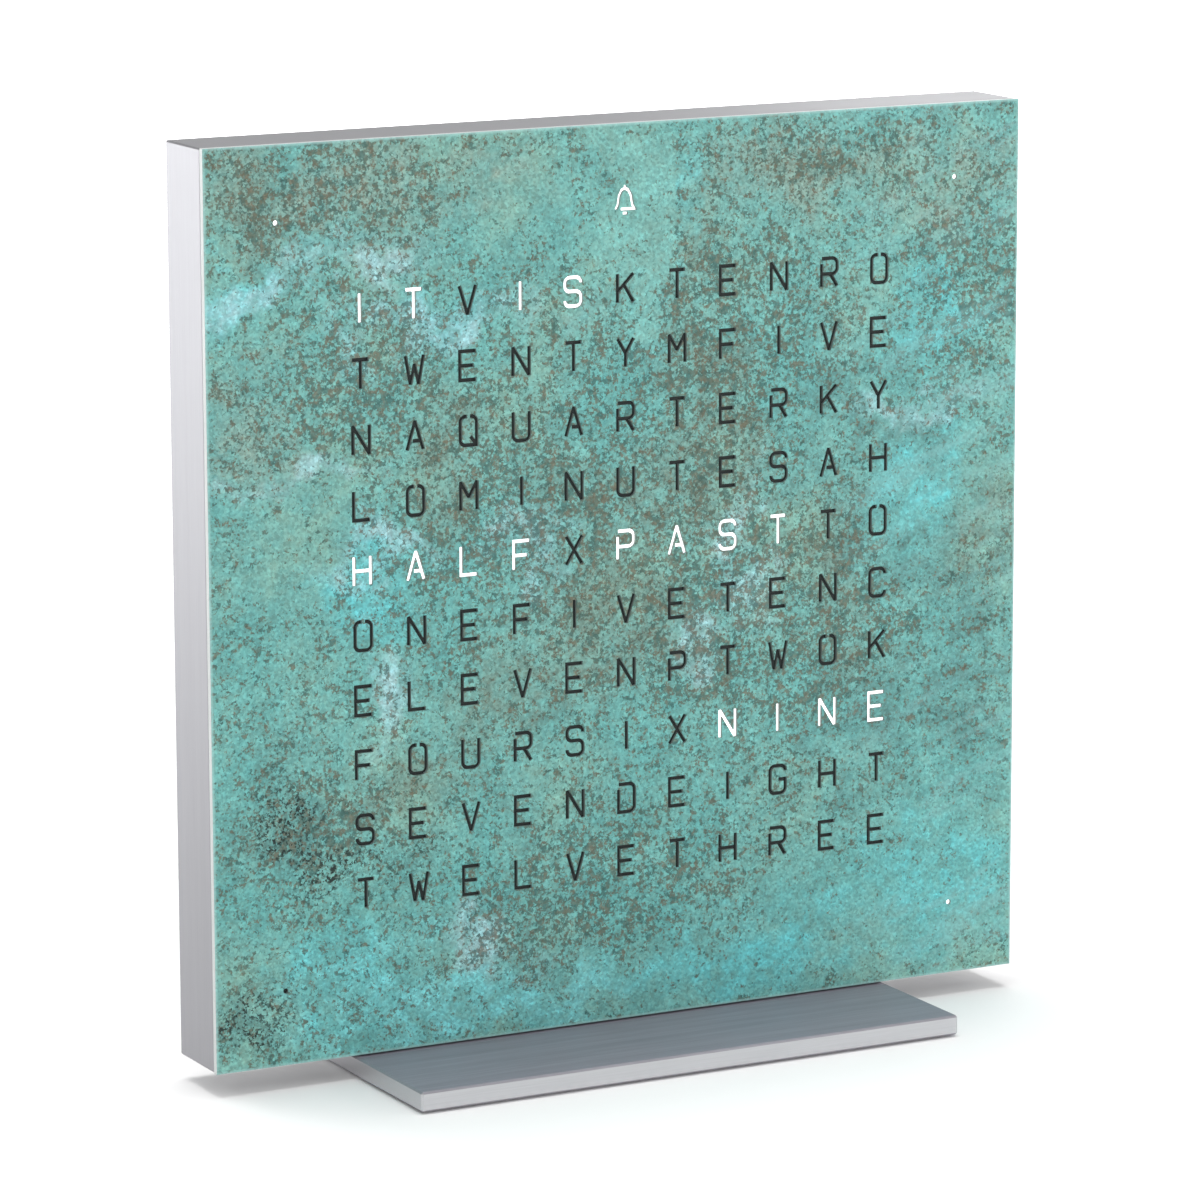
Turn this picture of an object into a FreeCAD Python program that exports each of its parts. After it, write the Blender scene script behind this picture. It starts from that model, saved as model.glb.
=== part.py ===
import FreeCAD, Part
import os

# A desk word clock. A square brushed aluminium frame stands on a flat foot, and a patinated front
# cover is held on it by magnets. Behind the cover a moulded light guide gives each letter, each
# minute dot and the bell sign its own tapered cell with its own light. The back panel has four
# setting buttons, sound slots and the power socket. Millimetres. X runs along the front to the
# right, Y to the back, Z up. The origin is on the table, under the middle of the foot.

# Letter field and front cover
columns = 11
rows = 10
letter_span = 86.4
letter_margin = 24.3
dot_inset = 11.2
dot_hole_radius = 0.5
cover_thickness = 1.0
cover_edge_break = 0.15

# Housing frame
wall = 2.0
rim_width = 3.5
rim_depth = 1.5
post_size = 6.0
edge_break = 0.25
fit_gap = 0.2

# Diffuser and light guide
diffuser_setback = 0.1
diffuser_thickness = 0.5
guide_depth = 6.0
cell_wall = 1.0
cell_back_width = 4.4
cell_back_height = 5.0
dot_cell_size = 4.0
dot_cell_back = 3.0
bell_cell_size = 6.4
bell_cell_back = 4.4
core_wall = 1.4
core_floor = 1.2
core_rib_place = 27.0

# Magnets
magnet_width = 5.0
magnet_length = 10.0
magnet_up = 36.0
cover_magnet_thickness = 1.0
housing_magnet_thickness = 2.0
magnet_air_gap = 0.1
magnet_pocket_gap = 0.2

# Circuit board and what it carries
board_thickness = 1.0
led_size = 1.6
led_height = 0.6
board_screw_shank_radius = 0.95
board_screw_head_radius = 1.8
board_screw_head_height = 1.1
board_screw_length = 5.0
screw_hole_gap = 0.05
controller_size = 10.0
controller_height = 1.2
controller_up = 8.0
driver_size = 7.0
driver_height = 0.9
side_across = 29.0
driver_up = 27.0
crystal_length = 5.0
crystal_width = 3.2
crystal_height = 1.0
crystal_gap = 3.0
cell_radius = 6.25
cell_thickness = 2.0
cell_gap = 0.15
holder_wall = 1.0
holder_floor = 0.3
holder_down = 38.0
buzzer_radius = 4.5
buzzer_height = 2.6
buzzer_down = 38.0
inductor_size = 5.0
inductor_height = 2.0
inductor_down = 40.0
capacitor_length = 3.2
capacitor_width = 1.6
capacitor_height = 1.5
capacitor_count = 4
capacitor_pitch = 4.4
capacitor_down = 32.0
component_headroom = 0.3

# Power socket
inlet_width = 9.0
inlet_height = 3.3
inlet_length = 7.0
inlet_wall = 0.3
inlet_inset = 12.0
inlet_recess = 0.2
inlet_slot_gap = 0.3
inlet_ear = 2.0
inlet_ear_thickness = 0.3
tongue_width = 6.7
tongue_thickness = 0.7
tongue_length = 4.6

# Back panel, buttons and switches
rear_cover_thickness = 1.5
pillar_size = 4.0
pillar_place = 48.0
rear_screw_shank_radius = 0.95
rear_screw_head_radius = 1.9
rear_screw_length = 6.0
screw_recess = 0.1
button_count = 4
button_pitch = 14.0
button_up = 45.0
button_width = 8.0
button_height = 5.0
button_proud = 0.7
button_chamfer = 0.4
button_travel = 0.5
button_hole_gap = 0.1
button_flange_reach = 0.9
button_flange_thickness = 0.6
button_flange_gap = 0.05
button_stem_size = 3.0
button_stem_length = 0.4
switch_size = 5.0
switch_height = 1.1
plunger_width = 2.4
plunger_height = 1.6
plunger_gap = 0.08
plunger_floor = 0.1
plunger_end_gap = 0.05
sound_slot_width = 1.0
sound_slot_length = 6.0
sound_slot_pitch = 2.2
sound_slot_count = 3

# Foot
foot_width = 90.0
foot_depth = 56.4
foot_thickness = 3.0
foot_edge_break = 0.3
gasket_thickness = 0.3
gasket_end_inset = 5.0
gasket_side_inset = 2.0
foot_screw_spacing = 44.0
foot_screw_shank_radius = 1.45
foot_screw_head_radius = 2.8
foot_screw_length = 8.0
foot_screw_hole_gap = 0.25
bar_end = 8.0
bar_height = 4.0
bar_depth = 8.0
bar_gap = 0.4
pad_width = 8.0
pad_thickness = 1.0
pad_stand = 0.3
pad_inset = 5.0
pad_end_inset = 7.0
pad_gap = 0.1
small_chamfer = 0.2

# Places across the face, counted from its middle
column_pitch = letter_span / (columns - 1)
row_pitch = letter_span / (rows - 1)
face_half = letter_span / 2 + letter_margin
inner_half = face_half - wall
field_half_x = letter_span / 2 + column_pitch / 2
field_half_z = letter_span / 2 + row_pitch / 2
dot_place = face_half - dot_inset
magnet_across = (field_half_x + inner_half) / 2
post_reach = inner_half - post_size
inlet_place = inlet_inset - face_half
rear_screw_place = inner_half - post_size / 2
button_places = [(n - (button_count - 1) / 2) * button_pitch for n in range(button_count)]

# Depths, from the front of the cover to the back of the frame
holder_height = holder_floor + cell_thickness + cell_gap
component_space = max(holder_height, buzzer_height) + component_headroom
body_depth = (
    cover_thickness
    + diffuser_setback
    + diffuser_thickness
    + guide_depth
    + board_thickness
    + component_space
    + rear_cover_thickness
)
front_y = -body_depth / 2
cover_back = front_y + cover_thickness
diffuser_front = cover_back + diffuser_setback
guide_front = diffuser_front + diffuser_thickness
guide_shoulder = cover_back + rim_depth
guide_back = guide_front + guide_depth
board_back = guide_back + board_thickness
rear_inside = board_back + component_space
rear_y = rear_inside + rear_cover_thickness

# Heights, from the table up
foot_bottom = pad_stand
foot_top = foot_bottom + foot_thickness
body_bottom = foot_top + gasket_thickness
middle_z = body_bottom + face_half

SIGNS = [(-1, -1), (1, -1), (-1, 1), (1, 1)]


def block(x_low, x_high, y_low, y_high, z_low, z_high):
    """A box between two corners, with heights counted from the middle of the face."""
    size = (x_high - x_low, y_high - y_low, z_high - z_low)
    return Part.makeBox(*size, FreeCAD.Vector(x_low, y_low, middle_z + z_low))


def plate(half_x, half_z, y_low, y_high, x=0.0, z=0.0):
    """A box with its middle at x and z on the face."""
    return block(x - half_x, x + half_x, y_low, y_high, z - half_z, z + half_z)


def rod(radius, y_low, y_high, x, z):
    """A round rod along Y with its axis at x and z on the face."""
    start = FreeCAD.Vector(x, y_low, middle_z + z)
    return Part.makeCylinder(radius, y_high - y_low, start, FreeCAD.Vector(0, 1, 0))


def post(radius, z_low, z_high, x, y):
    """A round rod along Z, with heights counted from the table."""
    start = FreeCAD.Vector(x, y, z_low)
    return Part.makeCylinder(radius, z_high - z_low, start, FreeCAD.Vector(0, 0, 1))


def stadium(width, height, y_low, y_high, x, z):
    """A bar along Y whose section is a rectangle with half-round ends."""
    reach = (width - height) / 2
    half = height / 2
    left_up = FreeCAD.Vector(x - reach, y_low, middle_z + z + half)
    right_up = FreeCAD.Vector(x + reach, y_low, middle_z + z + half)
    right_down = FreeCAD.Vector(x + reach, y_low, middle_z + z - half)
    left_down = FreeCAD.Vector(x - reach, y_low, middle_z + z - half)
    right_end = FreeCAD.Vector(x + reach + half, y_low, middle_z + z)
    left_end = FreeCAD.Vector(x - reach - half, y_low, middle_z + z)
    edges = [
        Part.LineSegment(left_up, right_up).toShape(),
        Part.Arc(right_up, right_end, right_down).toShape(),
        Part.LineSegment(right_down, left_down).toShape(),
        Part.Arc(left_down, left_end, left_up).toShape(),
    ]
    face = Part.Face(Part.Wire(edges))
    return face.extrude(FreeCAD.Vector(0, y_high - y_low, 0))


def revolved(points):
    """A solid turned about Z from a closed outline of (radius, height) points."""
    outline = [FreeCAD.Vector(radius, 0, height) for radius, height in points]
    outline.append(outline[0])
    face = Part.Face(Part.makePolygon(outline))
    return face.revolve(FreeCAD.Vector(0, 0, 0), FreeCAD.Vector(0, 0, 1), 360)


def countersunk_screw(head_radius, shank_radius, length):
    """A screw below Z = 0 with a flat 90 degree head."""
    cone = head_radius - shank_radius
    return revolved([(0, 0), (head_radius, 0), (shank_radius, -cone), (shank_radius, -length), (0, -length)])


def pan_screw(head_radius, head_height, shank_radius, length):
    """A screw with its flat head on top of Z = 0 and its shank below."""
    return revolved([
        (0, head_height), (head_radius, head_height), (head_radius, 0),
        (shank_radius, 0), (shank_radius, -length), (0, -length),
    ])


def countersink(head_radius, shank_radius, length, gap):
    """The hole that a countersunk screw goes in: its own shape, wider by the gap."""
    wide = head_radius + gap
    narrow = shank_radius + gap
    cone = wide - narrow
    return revolved([(0, 0), (wide, 0), (narrow, -cone), (narrow, -length), (0, -length)])


def facing_back(shape, x, y, z):
    """Turns a shape made along Z so that its head faces +Y, and sets it at x, y and z on the face."""
    turned = shape.copy()
    turned.rotate(FreeCAD.Vector(0, 0, 0), FreeCAD.Vector(1, 0, 0), -90)
    turned.translate(FreeCAD.Vector(x, y, middle_z + z))
    return turned


def facing_down(shape, x, y, z):
    """Turns a shape made along Z so that its head faces the table, at height z above it."""
    turned = shape.copy()
    turned.rotate(FreeCAD.Vector(0, 0, 0), FreeCAD.Vector(1, 0, 0), 180)
    turned.translate(FreeCAD.Vector(x, y, z))
    return turned


def chamfer_where(shape, size, wanted):
    """Chamfers each edge whose middle the test accepts."""
    edges = [edge for edge in shape.Edges if wanted(edge.CenterOfMass)]
    return shape.makeChamfer(size, edges)


def letter_places():
    """The middle of each letter, row by row from the top left."""
    places = []
    for row in range(rows):
        for column in range(columns):
            x = column * column_pitch - letter_span / 2
            z = letter_span / 2 - row * row_pitch
            places.append((x, z))
    return places


def dot_places():
    """The four minute dots, near the corners of the face."""
    return [(a * dot_place, b * dot_place) for a, b in SIGNS]


def magnet_places():
    """Two magnets on each side of the letter field."""
    return [(a * magnet_across, b * magnet_up) for a, b in SIGNS]


def magnets(y_low, y_high, gap=0.0):
    """Four flat blocks at the magnets' places, wider all round by the gap."""
    half_x = magnet_width / 2 + gap
    half_z = magnet_length / 2 + gap
    return [plate(half_x, half_z, y_low, y_high, x, z) for x, z in magnet_places()]


def board_screw_places():
    """The board's two screws, half way up between the magnets."""
    return [(-magnet_across, 0), (magnet_across, 0)]


def light_cell(x, z, front_x, front_z, back_x, back_z):
    """A cell that narrows from the light guide's front to its back, given by its half sizes."""
    cell = Part.makeWedge(
        x - front_x, guide_front, z - front_z, z - back_z, x - back_x,
        x + front_x, guide_back, z + front_z, z + back_z, x + back_x,
    )
    cell.translate(FreeCAD.Vector(0, 0, middle_z))
    return cell


def clear_spans(low, high, bosses):
    """The stretches from low to high outside every (middle, half width) in bosses."""
    spans = []
    start = low
    for middle, half in sorted(bosses):
        spans.append((start, middle - half))
        start = middle + half
    spans.append((start, high))
    return [span for span in spans if span[1] - span[0] > 2 * core_wall]


def foot_bar_notch(y_low, y_high):
    """The room that the inner pieces leave for the foot bar."""
    reach = foot_screw_spacing / 2 + bar_end + bar_gap
    top = -inner_half + bar_height + bar_gap
    return block(-reach, reach, y_low, y_high, -inner_half, top)


def corner_notches(y_low, y_high):
    """The room that the inner pieces leave for the frame's corner posts."""
    low = post_reach - fit_gap
    notches = []
    for a, b in SIGNS:
        middle = (low + face_half) / 2
        half = (face_half - low) / 2
        notches.append(plate(half, half, y_low, y_high, a * middle, b * middle))
    return notches


def front_cover():
    """The metal plate with its four minute dots. The letters are cut by the finish, not here."""
    cover = plate(face_half, face_half, front_y, cover_back)
    cover = chamfer_where(cover, cover_edge_break, lambda point: point.y < front_y + cover_edge_break)
    holes = [rod(dot_hole_radius, front_y, cover_back, x, z) for x, z in dot_places()]
    return cover.cut(holes)


def cover_magnets():
    """Flat magnets glued behind the cover, one over each magnet of the light guide."""
    back = cover_back + cover_magnet_thickness
    return Part.makeCompound(magnets(cover_back, back))


def housing():
    """The aluminium frame: four walls, a front rim that the light guide rests behind, corner posts."""
    outer = plate(face_half, face_half, cover_back, rear_y)
    outer = outer.makeChamfer(edge_break, outer.Edges)
    rim_half = face_half - rim_width
    frame = outer.cut(plate(inner_half, inner_half, guide_shoulder, rear_y))
    frame = frame.cut(plate(rim_half, rim_half, cover_back, guide_shoulder))
    posts = []
    for a, b in SIGNS:
        middle = post_reach + post_size / 2
        posts.append(plate(post_size / 2, post_size / 2, cover_back, rear_inside, a * middle, b * middle))
    frame = frame.fuse(posts).removeSplitter()
    holes = []
    for a, b in SIGNS:
        x = a * rear_screw_place
        z = b * rear_screw_place
        depth = rear_y - rear_screw_length - screw_recess - wall / 2
        holes.append(rod(rear_screw_shank_radius + screw_hole_gap, depth, rear_inside, x, z))
    for a in (-1, 1):
        radius = foot_screw_shank_radius + foot_screw_hole_gap
        holes.append(post(radius, body_bottom, body_bottom + wall, a * foot_screw_spacing / 2, 0))
    return frame.cut(holes)


def diffuser():
    """The sheet that spreads the light, with holes for the magnets."""
    half = face_half - rim_width - fit_gap
    sheet = plate(half, half, diffuser_front, guide_front)
    tools = corner_notches(diffuser_front, guide_front)
    return sheet.cut(tools + magnets(diffuser_front, guide_front, magnet_pocket_gap))


def light_guide():
    """The moulded grid: a tapered cell for each letter, dot and the bell, pockets for the magnets,
    the socket and the screws, and cored borders with ribs that keep it flat."""
    guide_half = inner_half - fit_gap
    raised_half = face_half - rim_width - fit_gap
    body = plate(guide_half, guide_half, guide_shoulder, guide_back)
    body = body.fuse(plate(raised_half, raised_half, guide_front, guide_shoulder))
    tools = corner_notches(guide_front, guide_back)
    tools.append(foot_bar_notch(guide_front, guide_back))
    body = body.cut(tools)

    front_x = (column_pitch - cell_wall) / 2
    front_z = (row_pitch - cell_wall) / 2
    cells = []
    for x, z in letter_places():
        cells.append(light_cell(x, z, front_x, front_z, cell_back_width / 2, cell_back_height / 2))
    dot_front = dot_cell_size / 2
    dot_back = dot_cell_back / 2
    for x, z in dot_places():
        cells.append(light_cell(x, z, dot_front, dot_front, dot_back, dot_back))
    bell_front = bell_cell_size / 2
    bell_back = bell_cell_back / 2
    cells.append(light_cell(0, dot_place, bell_front, bell_front, bell_back, bell_back))

    cells.extend(magnets(guide_front, magnet_stack_back(), magnet_pocket_gap))
    for x, z in board_screw_places():
        depth = guide_back - board_screw_length + board_thickness - screw_hole_gap
        cells.append(rod(board_screw_shank_radius + screw_hole_gap, depth, guide_back, x, z))
    inlet_front = rear_y - inlet_recess - inlet_length - inlet_slot_gap
    inlet_x = inlet_width / 2 + inlet_slot_gap
    inlet_z = inlet_height / 2 + inlet_slot_gap
    cells.append(plate(inlet_x, inlet_z, inlet_front, guide_back, 0, inlet_place))
    return body.cut(cells + guide_cores(guide_half))


def magnet_stack_back():
    """Where the light guide's magnets rest, behind the cover's magnets and the air gap."""
    return cover_back + cover_magnet_thickness + magnet_air_gap + housing_magnet_thickness


def guide_cores(guide_half):
    """Pockets from behind in the light guide's border, between its bosses and ribs."""
    core_front = guide_front + core_floor
    corner = dot_place - dot_cell_size / 2 - core_wall
    low_x = field_half_x + core_wall
    low_z = field_half_z + core_wall
    high = guide_half - core_wall
    cores = []

    magnet_boss = magnet_length / 2 + magnet_pocket_gap + core_wall
    rib_up = magnet_up / 2
    side_bosses = [
        (-magnet_up, magnet_boss),
        (-rib_up, core_wall / 2),
        (0, board_screw_shank_radius + core_wall),
        (rib_up, core_wall / 2),
        (magnet_up, magnet_boss),
    ]
    for start, end in clear_spans(-corner, corner, side_bosses):
        cores.append(block(low_x, high, core_front, guide_back, start, end))
        cores.append(block(-high, -low_x, core_front, guide_back, start, end))

    ribs = [(-core_rib_place, core_wall / 2), (core_rib_place, core_wall / 2)]
    top_bosses = ribs + [(0, bell_cell_size / 2 + core_wall)]
    for start, end in clear_spans(-corner, corner, top_bosses):
        cores.append(block(start, end, core_front, guide_back, low_z, high))
    bottom_bosses = ribs + [(0, inlet_width / 2 + inlet_slot_gap + core_wall)]
    low_edge = -inner_half + bar_height + bar_gap + core_wall
    for start, end in clear_spans(-corner, corner, bottom_bosses):
        cores.append(block(start, end, core_front, guide_back, low_edge, -low_z))
    return cores


def housing_magnets():
    """Magnets pressed into the light guide from the front."""
    back = magnet_stack_back()
    return Part.makeCompound(magnets(back - housing_magnet_thickness, back))


def led_board():
    """The circuit board, cut round the corner posts, the foot bar, the socket and its screws."""
    half = inner_half - fit_gap
    board = plate(half, half, guide_back, board_back)
    tools = corner_notches(guide_back, board_back)
    tools.append(foot_bar_notch(guide_back, board_back))
    slot_width = inlet_width + 2 * inlet_slot_gap
    slot_height = inlet_height + 2 * inlet_slot_gap
    tools.append(stadium(slot_width, slot_height, guide_back, board_back, 0, inlet_place))
    for x, z in board_screw_places():
        tools.append(rod(board_screw_shank_radius + screw_hole_gap, guide_back, board_back, x, z))
    return board.cut(tools)


def leds():
    """One light on the board in the middle of each cell."""
    places = letter_places() + dot_places() + [(0, dot_place)]
    half = led_size / 2
    front = guide_back - led_height
    return Part.makeCompound([plate(half, half, front, guide_back, x, z) for x, z in places])


def board_screws():
    """Two screws that hold the board on the light guide."""
    screw = pan_screw(
        board_screw_head_radius, board_screw_head_height, board_screw_shank_radius, board_screw_length
    )
    return Part.makeCompound([facing_back(screw, x, board_back, z) for x, z in board_screw_places()])


def chip(half_x, half_z, height, x, z):
    """A flat moulded package on the back of the board, with its top edges chamfered."""
    top = board_back + height
    body = plate(half_x, half_z, board_back, top, x, z)
    return chamfer_where(body, small_chamfer, lambda point: point.y > top - small_chamfer)


def controller_chip():
    """The chip that runs the clock."""
    return chip(controller_size / 2, controller_size / 2, controller_height, 0, controller_up)


def driver_chips():
    """Four chips that switch the lights, one for each quarter of the field."""
    half = driver_size / 2
    return Part.makeCompound(
        [chip(half, half, driver_height, a * side_across, b * driver_up) for a, b in SIGNS]
    )


def crystal():
    """The crystal beside the controller."""
    x = controller_size / 2 + crystal_gap + crystal_length / 2
    return chip(crystal_length / 2, crystal_width / 2, crystal_height, x, controller_up)


def inductor():
    """The coil of the power supply, above the socket."""
    return chip(inductor_size / 2, inductor_size / 2, inductor_height, 0, -inductor_down)


def capacitors():
    """A row of capacitors above the coil."""
    row = []
    for n in range(capacitor_count):
        x = (n - (capacitor_count - 1) / 2) * capacitor_pitch
        row.append(chip(capacitor_width / 2, capacitor_length / 2, capacitor_height, x, -capacitor_down))
    return Part.makeCompound(row)


def cell_holder():
    """A square cup on the board with a round pocket for the coin cell."""
    half = cell_radius + cell_gap + holder_wall
    floor = board_back + holder_floor
    top = board_back + holder_height
    cup = plate(half, half, board_back, top, -side_across, -holder_down)
    pocket = rod(cell_radius + cell_gap, floor, top, -side_across, -holder_down)
    finger = plate(cell_radius / 3, half, floor, top, -side_across, -holder_down)
    return cup.cut([pocket, finger])


def coin_cell():
    """The coin cell on the floor of its holder."""
    floor = board_back + holder_floor
    return rod(cell_radius, floor, floor + cell_thickness, -side_across, -holder_down)


def buzzer():
    """A round buzzer behind the sound slots."""
    return rod(buzzer_radius, board_back, board_back + buzzer_height, side_across, -buzzer_down)


def power_inlet():
    """A flat socket that opens to the back: a rounded shell, its tongue, and ears on the board."""
    mouth = rear_y - inlet_recess
    front = mouth - inlet_length
    shell = stadium(inlet_width, inlet_height, front, mouth, 0, inlet_place)
    ears = plate(
        inlet_width / 2 + inlet_ear, inlet_height / 2 - inlet_wall,
        board_back, board_back + inlet_ear_thickness, 0, inlet_place,
    )
    inner_width = inlet_width - 2 * inlet_wall
    inner_height = inlet_height - 2 * inlet_wall
    room = stadium(inner_width, inner_height, front + inlet_wall, mouth, 0, inlet_place)
    tongue = plate(
        tongue_width / 2, tongue_thickness / 2, front, front + inlet_wall + tongue_length, 0, inlet_place
    )
    return shell.fuse(ears).cut(room).fuse(tongue)


def switch_plunger_low():
    """Where a plunger's inner end rests, with room for its travel below it."""
    return board_back + plunger_floor + plunger_end_gap + button_travel


def button_stem_end():
    """The inner end of a button's stem, which sits on its plunger."""
    return rear_inside - button_flange_gap - button_flange_thickness - button_stem_length


def plunger_bar(n, y_low, y_high, gap=0.0):
    """A flat bar at the place of a switch's plunger, wider all round by the gap."""
    return plate(
        plunger_width / 2 + gap, plunger_height / 2 + gap, y_low, y_high, button_places[n], button_up
    )


def button_switches():
    """Switch cans on the board, each with the hole that its plunger slides in."""
    cans = []
    for n in range(button_count):
        top = board_back + switch_height
        can = plate(switch_size / 2, switch_size / 2, board_back, top, button_places[n], button_up)
        cans.append(can.cut(plunger_bar(n, board_back + plunger_floor, top, plunger_gap)))
    return Part.makeCompound(cans)


def plunger(n):
    """The moving core of a switch."""
    return plunger_bar(n, switch_plunger_low(), button_stem_end())


def button(n):
    """A flat key with a chamfered top, a flange that keeps it in, and a stem on its plunger."""
    x = button_places[n]
    half_x = button_width / 2
    half_z = button_height / 2
    stem_end = button_stem_end()
    flange_front = stem_end + button_stem_length
    flange_back = flange_front + button_flange_thickness
    top = rear_y + button_proud
    cap = plate(half_x, half_z, flange_back, top, x, button_up)
    cap = chamfer_where(cap, button_chamfer, lambda point: point.y > top - button_chamfer)
    flange_x = half_x + button_flange_reach
    flange_z = half_z + button_flange_reach
    flange = plate(flange_x, flange_z, flange_front, flange_back, x, button_up)
    stem_half = button_stem_size / 2
    stem = plate(stem_half, stem_half, stem_end, flange_front, x, button_up)
    return cap.fuse([flange, stem])


def rear_cover():
    """The back panel, with pillars that press the board home and holes for buttons, sound and lead."""
    half = inner_half - fit_gap
    panel = plate(half, half, rear_inside, rear_y)
    panel = chamfer_where(panel, small_chamfer, lambda point: point.y > rear_y - small_chamfer)
    pillar_half = pillar_size / 2
    pillars = []
    for a, b in SIGNS:
        x = a * pillar_place
        z = b * pillar_place
        pillars.append(plate(pillar_half, pillar_half, board_back, rear_inside, x, z))
    panel = panel.fuse(pillars)

    holes = []
    hole_x = button_width / 2 + button_hole_gap
    hole_z = button_height / 2 + button_hole_gap
    for x in button_places:
        holes.append(plate(hole_x, hole_z, rear_inside, rear_y, x, button_up))
    slot_width = inlet_width + 2 * inlet_slot_gap
    slot_height = inlet_height + 2 * inlet_slot_gap
    holes.append(stadium(slot_width, slot_height, rear_inside, rear_y, 0, inlet_place))
    slot_x = sound_slot_length / 2
    slot_z = sound_slot_width / 2
    for n in range(sound_slot_count):
        z = (n - (sound_slot_count - 1) / 2) * sound_slot_pitch - buzzer_down
        holes.append(plate(slot_x, slot_z, rear_inside, rear_y, side_across, z))
    sink = countersink(
        rear_screw_head_radius + screw_recess, rear_screw_shank_radius, rear_screw_length, screw_hole_gap
    )
    for a, b in SIGNS:
        holes.append(facing_back(sink, a * rear_screw_place, rear_y, b * rear_screw_place))
    return panel.cut(holes)


def rear_screws():
    """Four screws that hold the back panel on the frame's posts."""
    screw = countersunk_screw(rear_screw_head_radius, rear_screw_shank_radius, rear_screw_length)
    y = rear_y - screw_recess
    return Part.makeCompound(
        [facing_back(screw, a * rear_screw_place, y, b * rear_screw_place) for a, b in SIGNS]
    )


def foot_screw_places():
    """The foot's screws, one on each side, under the middle of the body."""
    return [-foot_screw_spacing / 2, foot_screw_spacing / 2]


def pad_strips(z_low, z_high, gap=0.0):
    """Two long strips under the foot's front and back edges, wider all round by the gap."""
    half_x = foot_width / 2 - pad_end_inset + gap
    half_y = pad_width / 2 + gap
    strips = []
    for a in (-1, 1):
        y = a * (foot_depth / 2 - pad_inset - pad_width / 2)
        corner = FreeCAD.Vector(-half_x, y - half_y, z_low)
        strips.append(Part.makeBox(2 * half_x, 2 * half_y, z_high - z_low, corner))
    return strips


def foot_plate():
    """The flat foot, with countersunk holes and two milled grooves for the pads underneath."""
    corner = FreeCAD.Vector(-foot_width / 2, -foot_depth / 2, foot_bottom)
    slab = Part.makeBox(foot_width, foot_depth, foot_thickness, corner)
    slab = slab.makeChamfer(foot_edge_break, slab.Edges)
    tools = []
    sink = countersink(
        foot_screw_head_radius + screw_recess, foot_screw_shank_radius,
        foot_thickness + gasket_thickness, screw_hole_gap,
    )
    for x in foot_screw_places():
        tools.append(facing_down(sink, x, 0, foot_bottom))
    return slab.cut(tools + pad_strips(foot_bottom, pad_thickness, pad_gap))


def foot_gasket():
    """The thin sheet between the foot and the body."""
    half_x = foot_width / 2 - gasket_end_inset
    half_y = body_depth / 2 - gasket_side_inset
    sheet = Part.makeBox(
        2 * half_x, 2 * half_y, gasket_thickness, FreeCAD.Vector(-half_x, -half_y, foot_top)
    )
    radius = foot_screw_shank_radius + foot_screw_hole_gap
    return sheet.cut([post(radius, foot_top, body_bottom, x, 0) for x in foot_screw_places()])


def foot_bar():
    """The threaded bar on the floor of the frame that the foot is screwed to."""
    half_x = foot_screw_spacing / 2 + bar_end
    start = body_bottom + wall
    corner = FreeCAD.Vector(-half_x, -bar_depth / 2, start)
    bar = Part.makeBox(2 * half_x, bar_depth, bar_height, corner)
    bar = bar.makeChamfer(small_chamfer, bar.Edges)
    radius = foot_screw_shank_radius + screw_hole_gap
    return bar.cut([post(radius, start, start + bar_height, x, 0) for x in foot_screw_places()])


def foot_screws():
    """Two screws from under the foot into the bar."""
    screw = countersunk_screw(foot_screw_head_radius, foot_screw_shank_radius, foot_screw_length)
    z = foot_bottom + screw_recess
    return Part.makeCompound([facing_down(screw, x, 0, z) for x in foot_screw_places()])


def foot_pads():
    """Two soft strips that the clock stands on, set in the foot."""
    return Part.makeCompound(pad_strips(0, pad_thickness))


pieces = {
    "front_cover": front_cover(),
    "cover_magnets": cover_magnets(),
    "housing": housing(),
    "diffuser": diffuser(),
    "light_guide": light_guide(),
    "housing_magnets": housing_magnets(),
    "led_board": led_board(),
    "leds": leds(),
    "board_screws": board_screws(),
    "controller_chip": controller_chip(),
    "driver_chips": driver_chips(),
    "crystal": crystal(),
    "inductor": inductor(),
    "capacitors": capacitors(),
    "cell_holder": cell_holder(),
    "coin_cell": coin_cell(),
    "buzzer": buzzer(),
    "power_inlet": power_inlet(),
    "button_switches": button_switches(),
    "rear_cover": rear_cover(),
    "rear_screws": rear_screws(),
    "foot_plate": foot_plate(),
    "foot_gasket": foot_gasket(),
    "foot_bar": foot_bar(),
    "foot_screws": foot_screws(),
    "foot_pads": foot_pads(),
}
for n in range(button_count):
    pieces["button_" + str(n + 1)] = button(n)
    pieces["plunger_" + str(n + 1)] = plunger(n)

os.makedirs("parts", exist_ok=True)
for name, shape in pieces.items():
    shape.exportStep(os.path.join("parts", name + ".step"))
    box = shape.BoundBox
    print(
        name, "solids", len(shape.Solids), "valid", shape.isValid(), "volume", round(shape.Volume, 3),
        "x", round(box.XMin, 3), round(box.XMax, 3), "y", round(box.YMin, 3), round(box.YMax, 3),
        "z", round(box.ZMin, 3), round(box.ZMax, 3),
    )
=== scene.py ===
"""The looks of a square desk word clock: a patinated cover with cut-out letters on a brushed
aluminium frame that stands on a flat foot. Places are in metres, as in the frame, and shapes are
worked out in millimetres and turned to metres when their mesh is made."""

import math

import bmesh
import bpy
import numpy as np
from mathutils import Matrix, Vector
from mathutils.geometry import tessellate_polygon


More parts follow.
